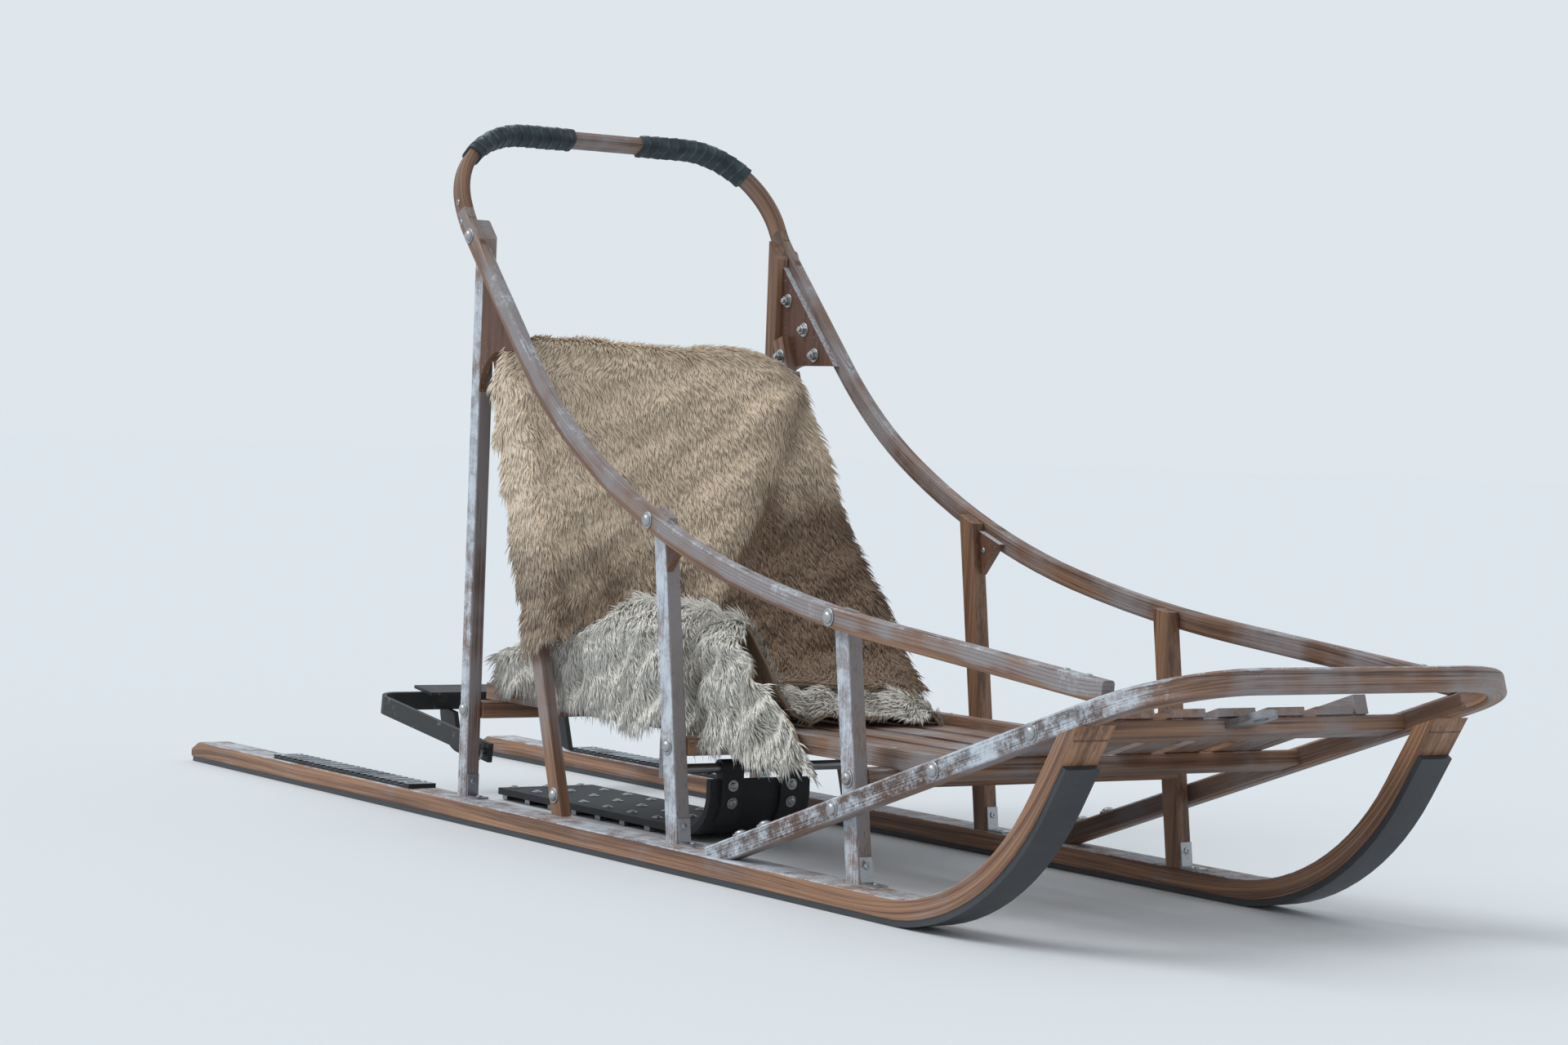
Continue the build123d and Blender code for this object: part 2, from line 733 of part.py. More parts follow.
def make_brake_claws():
    """Two hooks under the bar, whose tips point forward and down."""
    back = brake_bar_middle + claw_root / 2
    front = back - claw_root
    tip = front - claw_forward
    low = -brake_bar_depth / 2
    bottom = low - claw_drop
    hollow = (tip + 0.7 * (back - tip), low - 0.7 * claw_drop)
    outline = make_face([
        Line((back, low), (front, low)),
        Line((front, low), (tip, bottom)),
        Line((tip, bottom), (tip + claw_tip, bottom)),
        ThreePointArc((tip + claw_tip, bottom), hollow, (back, low)),
    ])
    claw = extrude(Plane.XZ * outline, amount=claw_thickness / 2, both=True)
    return Compound(children=[
        brake_plane * Pos(0, side * claw_spacing / 2, 0) * claw
        for side in sides.values()
    ])


def make_brake_pin(side):
    flange_end = post_inner_y - brake_flange_thickness
    pin_end = brake_outer_y - brake_bar_thickness - brake_flange_thickness
    flange = cross_rod(rear_post_x, brake_pivot_height, brake_flange_radius, side * flange_end, side * post_inner_y)
    pin = cross_rod(rear_post_x, brake_pivot_height, brake_pin_radius, side * pin_end, side * flange_end)
    return flange + pin


# Drag mat: a rubber belt that hangs from a rod, bends to the rear and trails flat on its cleats
mat_rod_x = rear_post_x + mat_rod_from_post
mat_level = mat_ground_gap + cleat_height + mat_thickness / 2
mat_drop = mat_rod_height - mat_level - mat_bend_radius


def make_mat_sheet():
    start = (mat_rod_x, mat_rod_height - mat_below_rod)
    moves = [(mat_drop - mat_below_rod, 0), (mat_bend_radius, -90), (mat_reach - mat_bend_radius, 0)]
    outline = strip(start, -90, moves, -mat_thickness / 2, mat_thickness / 2)
    return side_slab(outline, -mat_width / 2, mat_width / 2)


def make_mat_cleats():
    cleats = []
    half_length = mat_width / 2 - cleat_inset
    for index in range(cleat_count):
        start_x = mat_rod_x - mat_reach + index * cleat_pitch
        cleats.append(block(start_x, start_x + cleat_width, -half_length, half_length,
                            mat_ground_gap, mat_ground_gap + cleat_height))
    return Compound(children=cleats)


def make_mat_straps():
    """Two straps down the front of the mat, each from an eye round the rod."""
    bore_radius = mat_rod_radius + mat_rod_clearance
    eye_radius = bore_radius + strap_thickness
    moves = [(mat_drop, 0), (mat_bend_radius, -strap_wrap_turn)]
    outline = strip((mat_rod_x, mat_rod_height), -90, moves, mat_thickness / 2, mat_thickness / 2 + strap_thickness)
    straps = []
    for side in sides.values():
        y_one = side * strap_spacing / 2 - strap_width / 2
        y_two = y_one + strap_width
        strap = side_slab(outline, y_one, y_two) + cross_rod(mat_rod_x, mat_rod_height, eye_radius, y_one, y_two)
        straps.append(strap - cross_rod(mat_rod_x, mat_rod_height, bore_radius, y_one, y_two))
    return Compound(children=straps)


def make_mat_hanger():
    """Rod across the sled, with a bracket at each end up to the outer slat."""
    outer_slat_y = (slats_width - slat_width) / 2
    half = outer_slat_y + mat_bracket_thickness / 2
    hanger = cross_rod(mat_rod_x, mat_rod_height, mat_rod_radius, -half, half)
    x_low, x_high = mat_rod_x - mat_bracket_width / 2, mat_rod_x + mat_bracket_width / 2
    for side in sides.values():
        y_low, y_high = sorted((side * half, side * (half - mat_bracket_thickness)))
        hanger += block(x_low, x_high, y_low, y_high, mat_rod_height - mat_bracket_below_rod, bed_height)
    return hanger


def make_post_angles():
    """Steel angles that hold the front face of each post's foot to the runner."""
    angles = []
    middle_y = (post_inner_y + post_outer_y) / 2
    # columns: place of the post's front edge at the crossbar, lean of the post
    post_fronts = [
        (rear_post_x + rear_post_width / 2, 0.0),
        (middle_post_x + post_width / 2, post_lean),
        (front_post_x + post_width / 2, post_lean),
    ]
    for post_front, lean in post_fronts:
        foot = post_edge(post_front, runner_top, lean)
        heel = post_edge(post_front + angle_thickness, runner_top + angle_thickness, lean)
        top = post_edge(post_front, runner_top + angle_length, lean)
        outline = side_polygon([
            foot,
            (foot[0] + angle_length, runner_top),
            (foot[0] + angle_length, runner_top + angle_thickness),
            heel,
            (top[0] + angle_thickness, top[1]),
            top,
        ])
        for side in sides.values():
            middle = side * middle_y
            angles.append(side_slab(outline, middle - angle_width / 2, middle + angle_width / 2))
    return Compound(children=angles)


def build_sled():
    """Every piece of the sled by its name."""
    pieces = {
        "handle_bow": make_handle_bow(),
        "brush_bow": make_brush_bow(),
        "rear_crossbar": make_crossbar(rear_post_x),
        "middle_crossbar": make_crossbar(middle_post_x),
        "front_crossbar": make_crossbar(front_post_x),
        "slope_crossbar": make_slope_bar(slope_bar_x),
        "nose_crossbar": make_slope_bar(nose_bar_x),
        "tow_eye": make_tow_eye(),
        "bed_slats": make_bed_slats(),
        "backrest_boards": make_backrest_boards(),
        "brown_hide": make_brown_hide(),
        "cream_hide": make_cream_hide(),
        "brake_bow": make_brake_bow(),
        "brake_claws": make_brake_claws(),
        "mat_hanger": make_mat_hanger(),
        "mat_sheet": make_mat_sheet(),
        "mat_cleats": make_mat_cleats(),
        "mat_straps": make_mat_straps(),
        "post_angles": make_post_angles(),
    }
    for name, side in sides.items():
        pieces["runner_" + name] = make_runner(side)
        pieces["runner_shoe_" + name] = make_shoe(side)
        pieces["foot_pad_" + name] = make_foot_pad(side)
        pieces["side_rail_" + name] = make_side_rail(side)
        pieces["grip_wrap_" + name] = make_grip_wrap(side)
        pieces["rear_post_" + name] = make_post(rear_post_x, rear_post_width, 0.0, side)
        pieces["middle_post_" + name] = make_post(middle_post_x, post_width, post_lean, side)
        pieces["front_post_" + name] = make_post(front_post_x, post_width, post_lean, side)
        pieces["gusset_" + name] = make_gusset(side)
        pieces["rail_knee_" + name] = make_rail_knee(side)
        pieces["bed_stringer_" + name] = make_bed_stringer(side)
        pieces["backrest_leg_" + name] = make_backrest_leg(side)
        pieces["brake_pin_" + name] = make_brake_pin(side)
    return pieces


os.makedirs("parts", exist_ok=True)
for piece_name, piece in build_sled().items():
    export_step(piece, f"parts/{piece_name}.step")
    print(piece_name, round(piece.volume / 1000), "cm3")
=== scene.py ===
import bpy
import numpy as np
from mathutils import Matrix, Vector


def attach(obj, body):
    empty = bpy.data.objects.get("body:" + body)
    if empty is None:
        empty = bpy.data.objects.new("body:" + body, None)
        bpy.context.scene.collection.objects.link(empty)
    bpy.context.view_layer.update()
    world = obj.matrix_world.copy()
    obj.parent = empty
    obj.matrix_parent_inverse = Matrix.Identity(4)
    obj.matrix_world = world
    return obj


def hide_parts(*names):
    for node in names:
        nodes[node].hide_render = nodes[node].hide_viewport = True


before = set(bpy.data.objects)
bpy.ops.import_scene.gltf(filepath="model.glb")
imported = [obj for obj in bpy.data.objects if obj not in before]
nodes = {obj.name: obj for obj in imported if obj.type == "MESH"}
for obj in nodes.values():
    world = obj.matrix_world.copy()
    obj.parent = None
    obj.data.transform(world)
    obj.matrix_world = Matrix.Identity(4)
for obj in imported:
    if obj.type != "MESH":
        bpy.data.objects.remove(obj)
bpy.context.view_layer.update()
print("frame loaded")

# the camera stands as in the photo; roll in degrees, lens and sensor in mm
view = {"place": (4.128, -2.751, 0.591), "target": (0.05, 0.0, 0.46), "roll": 2.11, "lens": 80.0,
        "sensor": 36.0}
# floor and sky share one pale colour; the sun is a soft one, with its angle and turn in degrees
studio = {"floor": (0.80, 0.85, 0.89), "sky": (0.735, 0.795, 0.842), "light": (0.94, 0.97, 1.0),
          "skyLight": 0.62, "sun": 1.35, "sunAngle": 35.0, "sunTurn": (38.0, -22.0, 0.0), "reach": 60.0}


def addCamera():
    # looks from its place at the target, then rolls about its own line of sight
    data = bpy.data.cameras.new("camera")
    data.lens, data.sensor_width = view["lens"], view["sensor"]
    obj = bpy.data.objects.new("camera", data)
    bpy.context.collection.objects.link(obj)
    place, target = Vector(view["place"]), Vector(view["target"])
    turn = (target - place).to_track_quat("-Z", "Y").to_matrix().to_4x4()
    roll = Matrix.Rotation(np.radians(view["roll"]), 4, "Z")
    obj.matrix_world = Matrix.Translation(place) @ turn @ roll
    bpy.context.scene.camera = obj


# a wire is one number or vector socket, and sums on it add Math nodes
class Wire:
    def __init__(self, finish, socket):
        self.finish, self.socket = finish, socket

    def __add__(self, other):
        return self.finish.math("ADD", self, other)

    def __sub__(self, other):
        return self.finish.math("SUBTRACT", self, other)

    def __rsub__(self, other):
        return self.finish.math("SUBTRACT", other, self)

    def __mul__(self, other):
        return self.finish.math("MULTIPLY", self, other)

    def __truediv__(self, other):
        return self.finish.math("DIVIDE", self, other)

    def __abs__(self):
        return self.finish.math("ABSOLUTE", self)

    __radd__ = __add__
    __rmul__ = __mul__


# one material; steady values go straight onto the shader's own sockets
class Finish:
    def __init__(self, name, **steady):
        self.material = bpy.data.materials.new(name)
        self.material.use_nodes = True
        self.tree = self.material.node_tree
        self.shader = self.tree.nodes["Principled BSDF"]
        for label, value in steady.items():
            self.shader.inputs[label.replace("_", " ")].default_value = value

    def add(self, kind, settings=None, inputs=None, output=0):
        # any node: its settings first, then the values or wires of its sockets
        node = self.tree.nodes.new(kind)
        for label, value in (settings or {}).items():
            setattr(node, label, value)
        for label, value in (inputs or {}).items():
            self.join(value, node.inputs[label])
        return Wire(self, node.outputs[output])

    def join(self, value, socket):
        if isinstance(value, Wire):
            self.tree.links.new(value.socket, socket)
        elif socket.type == "RGBA" and len(value) == 3:
            socket.default_value = (*value, 1.0)
        else:
            socket.default_value = value

    def set(self, **varying):
        for label, value in varying.items():
            self.join(value, self.shader.inputs[label.replace("_", " ")])

    def math(self, operation, one, two=0.0):
        return self.add("ShaderNodeMath", {"operation": operation}, {0: one, 1: two})

    def parts(self, vector):
        # the three numbers of a vector
        split = self.add("ShaderNodeSeparateXYZ", None, {0: vector}).socket.node
        return [Wire(self, split.outputs[k]) for k in range(3)]

    def places(self):
        return self.parts(self.add("ShaderNodeTexCoord", output="Object"))

    def facing(self):
        return self.parts(self.add("ShaderNodeTexCoord", output="Normal"))

    def vector(self, x, y, z):
        return self.add("ShaderNodeCombineXYZ", None, {0: x, 1: y, 2: z})

    def noise(self, vector, scale, detail=3.0, rough=0.55):
        inputs = {"Vector": vector, "Scale": scale, "Detail": detail, "Roughness": rough}
        return self.add("ShaderNodeTexNoise", None, inputs)

    def streaks(self, places, pace, detail, rough=0.6):
        # noise at places times a pace for each way: a high one squeezes it, a low one draws it out
        x, y, z = [place * number for place, number in zip(places, pace)]
        return self.noise(self.vector(x, y, z), 1.0, detail, rough)

    def smooth(self, value, low, high):
        # 0 at low and 1 at high with a smooth rise between, or a fall where high is below low
        inputs = {"Value": value, "From Min": low, "From Max": high}
        return self.add("ShaderNodeMapRange", {"interpolation_type": "SMOOTHSTEP"}, inputs)

    def mix(self, share, one, two):
        return self.add("ShaderNodeMix", {"data_type": "RGBA"}, {0: share, 6: one, 7: two}, 2)

    def bump(self, height, distance, strength=1.0):
        inputs = {"Height": height, "Distance": distance, "Strength": strength}
        return self.add("ShaderNodeBump", None, inputs)

    def mark(self, name):
        # a number that the mesh carries at each point
        return self.add("ShaderNodeAttribute", {"attribute_name": name}, None, "Fac")


def gridFaces(rows, columns, closed=False):
    # quads that join each row of points to the next, and the last column to the first if closed
    i = np.arange(rows - 1)[:, None] * columns
    j = np.arange(columns if closed else columns - 1)[None]
    k = (j + 1) % columns
    return np.stack([i + j, i + k, i + columns + k, i + columns + j], -1).reshape(-1, 4)


def makePiece(name, points, faces, finish, body="sled", smooth=True, marks=None):
    # a mesh from an array of points and arrays of faces; marks are numbers per point for the shader
    points = points.reshape(-1, 3)
    faces = faces if isinstance(faces, list) else [faces]
    corners = np.concatenate([part.ravel() for part in faces])
    sizes = np.concatenate([np.full(len(part), part.shape[1]) for part in faces])
    mesh = bpy.data.meshes.new(name)
    mesh.vertices.add(len(points))
    mesh.vertices.foreach_set("co", points.astype(np.float32).ravel())
    mesh.loops.add(len(corners))
    mesh.loops.foreach_set("vertex_index", corners.astype(np.int32))
    mesh.polygons.add(len(sizes))
    mesh.polygons.foreach_set("loop_start", (np.cumsum(sizes) - sizes).astype(np.int32))
    mesh.polygons.foreach_set("use_smooth", np.full(len(sizes), smooth))
    mesh.update(calc_edges=True)
    for label, values in (marks or {}).items():
        layer = mesh.attributes.new(label, "FLOAT", "POINT")
        layer.data.foreach_set("value", values.astype(np.float32).ravel())
    mesh.materials.append(finish)
    obj = bpy.data.objects.new(name, mesh)
    bpy.context.collection.objects.link(obj)
    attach(obj, body)
    return obj


def unit(vectors):
    # each vector divided by its own length
    return vectors / np.linalg.norm(vectors, axis=-1, keepdims=True)


def waves(a, b, size, seed, count=9):
    # smooth ripples: a sum of cosines in random directions, whose crests lie about size apart,
    # divided so that it seldom passes -1 or 1
    rng = np.random.default_rng(seed)
    turn, phase = rng.uniform(0, np.pi, count), rng.uniform(0, 2 * np.pi, count)
    pace = 2 * np.pi / size * rng.uniform(0.7, 1.5, count)
    a, b = np.asarray(a)[..., None], np.asarray(b)[..., None]
    return np.cos(pace * (a * np.cos(turn) + b * np.sin(turn)) + phase).sum(-1) / count ** 0.5 / 1.4


def ease(value, low, high):
    # 0 at low and 1 at high with a smooth rise between, or a fall where high is below low
    t = np.clip((value - low) / (high - low), 0, 1)
    return t * t * (3 - 2 * t)


def bell(value, middle, width):
    # 1 at the middle and near 0 two widths away: exp of minus (distance / width) squared
    return np.exp(-((value - middle) / width) ** 2)


# Light, floor and sky
def addStudio():
    # camera and mirrors see the sky's own colour, and everything else is lit by its light
    side = studio["reach"]
    corners = [(-side, -side, 0), (side, -side, 0), (side, side, 0), (-side, side, 0)]
    mesh = bpy.data.meshes.new("floor")
    mesh.from_pydata(corners, [], [(0, 1, 2, 3)])
    floor = bpy.data.objects.new("floor", mesh)
    bpy.context.collection.objects.link(floor)
    finish = Finish("floor_pale", Roughness=0.9)
    finish.set(Base_Color=studio["floor"])
    mesh.materials.append(finish.material)
    world = bpy.data.worlds.new("sky")
    bpy.context.scene.world = world
    world.use_nodes = True
    tree = world.node_tree
    light = tree.nodes["Background"]
    light.inputs["Color"].default_value = (*studio["light"], 1.0)
    light.inputs["Strength"].default_value = studio["skyLight"]
    seen = tree.nodes.new("ShaderNodeBackground")
    seen.inputs["Color"].default_value = (*studio["sky"], 1.0)
    seen.inputs["Strength"].default_value = 1.0
    ray, choice = tree.nodes.new("ShaderNodeLightPath"), tree.nodes.new("ShaderNodeMixShader")
    either = tree.nodes.new("ShaderNodeMath")
    either.operation = "MAXIMUM"
    for out, into in ((ray.outputs["Is Camera Ray"], either.inputs[0]),
                      (ray.outputs["Is Glossy Ray"], either.inputs[1]), (either.outputs[0], choice.inputs[0]),
                      (light.outputs[0], choice.inputs[1]), (seen.outputs[0], choice.inputs[2]),
                      (choice.outputs[0], tree.nodes["World Output"].inputs[0])):
        tree.links.new(out, into)
    lamp = bpy.data.lights.new("sun", "SUN")
    lamp.energy, lamp.angle = studio["sun"], np.radians(studio["sunAngle"])
    sun = bpy.data.objects.new("sun", lamp)
    sun.rotation_euler = [np.radians(angle) for angle in studio["sunTurn"]]
    bpy.context.collection.objects.link(sun)


addCamera()
addStudio()
bpy.context.scene.view_settings.view_transform = "Standard"
print("camera, floor and light")

# Wood, weathered and touched with frost. Colours are linear; fibre and band are the paces of the streaks
# along the grain and the two ways across it
wood = {"light": (0.34, 0.185, 0.105), "dark": (0.115, 0.052, 0.030), "grey": (0.27, 0.245, 0.25),
        "frost": (0.62, 0.69, 0.77), "thinFrost": (0.40, 0.45, 0.52), "fibre": (7, 620, 620),
        "band": (2.2, 95, 95), "bump": 0.0007}


def woodFinish(name, grain, grey=0.4, frost=0.4, outer=0.0, glue=None, warm=1.0, bare=None):
    # grain gives three wires from the place: along the fibres, and the two ways across them;
    # outer is how far frost also covers the faces away from the middle, glue the depth of one ply,
    # and below the depth bare the wood stays brown
    f = Finish(name)
    x, y, z = f.places()
    normalY, normalZ = f.facing()[1:]
    place, grainPlace = f.vector(x, y, z), grain(f, x, y, z)
    deep = grainPlace[2]
    fibre, band = f.streaks(grainPlace, wood["fibre"], 4.0), f.streaks(grainPlace, wood["band"], 3.0, 0.5)
    patch, speck = f.noise(place, 7.0, 3.0, 0.6), f.noise(place, 240.0, 3.0, 0.65)
    light, dark = [tuple(c * warm for c in wood[key]) for key in ("light", "dark")]
    colour = f.mix(f.smooth(band * 0.6 + fibre * 0.4, 0.36, 0.64), dark, light)
    greyed = f.smooth(patch + (fibre - 0.5) * 0.5, 0.62 - grey * 0.5, 0.92 - grey * 0.5)
    up = f.smooth(normalZ, 0.15, 0.85)
    out = f.smooth(normalY * f.math("SIGN", y), 0.4, 0.9) * outer
    if bare is not None:
        kept = f.smooth(deep + (patch - 0.5) * 0.02, bare - 0.003, bare + 0.003)
        greyed, out = greyed * kept, out * kept
    colour = f.mix(greyed, colour, wood["grey"])
    crack = f.smooth(fibre, 0.335, 0.30)
    colour = f.mix(crack * 0.75, colour, tuple(c * 0.35 for c in dark))
    height = fibre * 0.8 + band * 0.3 - crack * 0.8
    if glue:
        ply = abs(f.math("FRACT", deep / glue + 0.5) - 0.5)
        line = f.smooth(ply + (fibre - 0.5) * 0.02, 0.055, 0.02)
        colour = f.mix(line * 0.7, colour, tuple(c * 0.4 for c in dark))
        height = height - line * 0.6
    worn = f.noise(place, 38.0, 4.0, 0.65)
    broken = speck * 0.5 + fibre * 0.4 + patch * 0.7 + worn * 0.8 - 1.2
    rime = f.smooth(f.math("MINIMUM", up * frost + out, 1.0) * 0.72 + broken * 1.5, 0.34, 0.88)
    rimeTone = f.mix(f.smooth(fibre + worn, 0.7, 1.2), wood["thinFrost"], wood["frost"])
    f.set(Base_Color=f.mix(rime * 0.88, colour, rimeTone), Roughness=0.52 + rime * 0.3 + (fibre - 0.5) * 0.3)
    f.set(Normal=f.bump(height + rime * speck * 1.2, wood["bump"], 0.8))
    return f.material


def middleLine(name, degree=7):
    # coefficients of z as a polynomial of x, half way between the node's upper and lower edges
    mesh = nodes[name].data
    points = np.empty(len(mesh.vertices) * 3)
    mesh.vertices.foreach_get("co", points)
    x, z = points.reshape(-1, 3)[:, 0], points.reshape(-1, 3)[:, 2]
    above = z > np.polyval(np.polyfit(x, z, 5), x)
    even = np.linspace(x.min() + 0.01, x.max() - 0.01, 120)
    edges = []
    for half in (above, ~above):
        order = np.argsort(x[half])
        edges.append(np.interp(even, x[half][order], z[half][order]))
    return np.polyfit(even, (edges[0] + edges[1]) / 2, degree)


def polynomial(x, terms):
    # the terms are taken in one by one, highest power first
    value = x * float(terms[0]) + float(terms[1])
    for term in terms[2:]:
        value = value * x + float(term)
    return value


# middle lines of the bent parts; feet are (x, z), leans and slopes are in radians
railTerms, runnerTerms = middleLine("side_rail_left"), middleLine("runner_left")
bow = {"foot": (-0.407, 0.895), "lean": np.radians(30.0), "side": 0.278, "corner": 0.136, "leg": 0.008}
brush = {"front": 1.2494, "top": 0.337, "slope": np.radians(18.4), "side": 0.281, "corner": 0.125,
         "half": 0.012}
backrest = {"foot": np.array([-0.113, 0.034]), "lean": np.radians(18.5), "top": 0.6753}
backUp = np.array([-np.sin(backrest["lean"]), np.cos(backrest["lean"])])
backFront = np.array([backUp[1], -backUp[0]])


# Each of these gives the place along the grain, and the two ways across it
def alongX(f, x, y, z):
    return x, y, z


def alongY(f, x, y, z):
    return y, x, z


def alongZ(f, x, y, z):
    return z, x, y


def alongRail(f, x, y, z):
    # depth is the height over the rail's middle line
    return x, y, z - polynomial(x, railTerms)


def alongRunner(f, x, y, z):
    # depth is the height over the runner's middle line
    return x, y, z - polynomial(x, runnerTerms)


def roundCorner(f, across, up, side, top, radius):
    # signed distance from a U whose corners have that radius
    a, b = abs(across) - (side - radius), up - (top - radius)
    outer = f.math("SQRT", f.math("MAXIMUM", a, 0.0) * f.math("MAXIMUM", a, 0.0)
                   + f.math("MAXIMUM", b, 0.0) * f.math("MAXIMUM", b, 0.0))
    return outer + f.math("MINIMUM", f.math("MAXIMUM", a, b), 0.0) - radius


def alongHandle(f, x, y, z):
    # the place turned into the leaning bow's plane, then its distance from the bow's U there
    cosine, sine = float(np.cos(bow["lean"])), float(np.sin(bow["lean"]))
    forward, high = x - bow["foot"][0], z - bow["foot"][1]
    rise, depth = high * cosine - forward * sine, high * sine + forward * cosine
    ring = roundCorner(f, y, rise, bow["side"], bow["leg"] + bow["corner"], bow["corner"])
    return y + rise, depth, ring


def alongBrush(f, x, y, z):
    # the same in the brush bow's sloping plane
    reach = (x - brush["front"]) / float(np.cos(brush["slope"])) + brush["half"]
    ring = roundCorner(f, y, reach, brush["side"], 0.0, brush["corner"])
    return x + y, z - x * float(np.tan(brush["slope"])), ring


def alongLeg(f, x, y, z):
    # up the backrest's leaning leg, across the sled, and out of the leg's front
    (upX, upZ), (frontX, frontZ) = backUp.tolist(), backFront.tolist()
    return z * upZ + x * upX, y, x * frontX + z * frontZ


# Ply of the corner plates: thin layers seen on their edges, a long grain on their faces
ply = {"light": (0.15, 0.064, 0.036), "dark": (0.060, 0.024, 0.015), "edge": (0.36, 0.20, 0.11),
       "layer": 0.0016, "fibre": (420, 200, 16), "band": (60, 30, 6)}


def plyFinish(name):
    # layers are stripes across y, shown where the face looks away from y
    f = Finish(name)
    x, y, z = f.places()
    normalY, normalZ = f.facing()[1:]
    place = f.vector(x, y, z)
    fibre, band = f.streaks((x, y, z), ply["fibre"], 4.0), f.streaks((x, y, z), ply["band"], 2.0, 0.5)
    colour = f.mix(f.smooth(band * 0.6 + fibre * 0.4, 0.36, 0.66), ply["dark"], ply["light"])
    layer = f.smooth(f.math("PINGPONG", y, ply["layer"]), 0.0004, 0.0012)
    edge = f.smooth(abs(normalY), 0.6, 0.3)
    colour = f.mix(edge * layer * 0.6, colour, ply["edge"])
    speck, cloud = f.noise(place, 260.0, 3.0, 0.65), f.noise(place, 9.0)
    rime = f.smooth(speck + cloud * 0.5 + f.smooth(normalZ, 0.2, 0.9) * 0.4, 0.86, 1.15)
    f.set(Base_Color=f.mix(rime * 0.7, colour, wood["frost"]), Roughness=0.5 + rime * 0.3 + fibre * 0.15)
    f.set(Normal=f.bump(fibre + rime * speck, 0.0006, 0.8))
    return f.material


# Rubber and plastic, and steel with scratches and rust; scuff and scratch are paces of streaks
rubber = {"scuffTone": (0.15, 0.155, 0.16), "scuff": (30, 340, 340), "bump": 0.0004}
steel = {"bareTone": (0.30, 0.30, 0.31), "darkRust": (0.10, 0.035, 0.014), "paleRust": (0.24, 0.095, 0.035),
         "scratch": (60, 1500, 900), "bump": 0.0004}


def moulded(name, tone, frost, roughness):
    # fine pebbled skin, greyed scuffs, frost in patches and on top
    f = Finish(name, IOR=1.5)
    x, y, z = f.places()
    normalZ = f.facing()[2]
    place = f.vector(x, y, z)
    pebble, broad = f.noise(place, 900.0, 2.0), f.noise(place, 14.0, 4.0, 0.6)
    scuff = f.smooth(f.streaks((x, y, z), rubber["scuff"], 4.0, 0.7), 0.56, 0.74) * f.smooth(broad, 0.4, 0.6)
    colour = f.mix(broad, tone, tuple(c * 1.9 + 0.006 for c in tone))
    colour = f.mix(scuff * 0.5, colour, rubber["scuffTone"])
    speck = f.noise(place, 300.0, 3.0, 0.7)
    rime = f.smooth(speck * 0.6 + broad * 0.7 + f.smooth(normalZ, 0.1, 0.9) * frost, 0.92, 1.2)
    height = pebble + scuff * 0.4 + rime * speck * 2.0
    f.set(Base_Color=f.mix(rime * 0.8, colour, wood["frost"]))
    f.set(Roughness=roughness + scuff * 0.2 + rime * 0.25, Normal=f.bump(height, rubber["bump"], 0.7))
    return f.material


def steelFinish(name, tone, rust, paint=False):
    # scratches and rust in patches; paint makes it a dull black coat that is worn through
    f = Finish(name)
    x, y, z = f.places()
    place = f.vector(x, y, z)
    broad, fine = f.noise(place, 45.0, 4.0, 0.65), f.noise(place, 600.0, 3.0, 0.6)
    scratch = f.streaks((x, y, z), steel["scratch"], 3.0)
    rusty = f.smooth(broad + (fine - 0.5) * 0.4, 0.72 - rust * 0.2, 0.82 - rust * 0.2)
    colour = f.mix(f.smooth(scratch, 0.3, 0.7), tuple(c * 0.7 for c in tone), tone)
    worn = f.smooth(broad + (scratch - 0.5) * 0.5, 0.66, 0.72)
    if paint:
        colour = f.mix(worn, colour, steel["bareTone"])
        metal = worn * (1.0 - rusty)
        rough = 0.5 + (fine - 0.5) * 0.3 + rusty * 0.3
    else:
        metal = 1.0 - rusty
        rough = 0.34 + rusty * 0.5 + (fine - 0.5) * 0.25
    colour = f.mix(rusty * 0.9, colour, f.mix(fine, steel["darkRust"], steel["paleRust"]))
    f.set(Base_Color=colour, Metallic=metal, Roughness=rough)
    f.set(Normal=f.bump(fine * 0.5 + scratch * 0.3 - worn * 0.8 + rusty * fine, steel["bump"], 0.6))
    return f.material


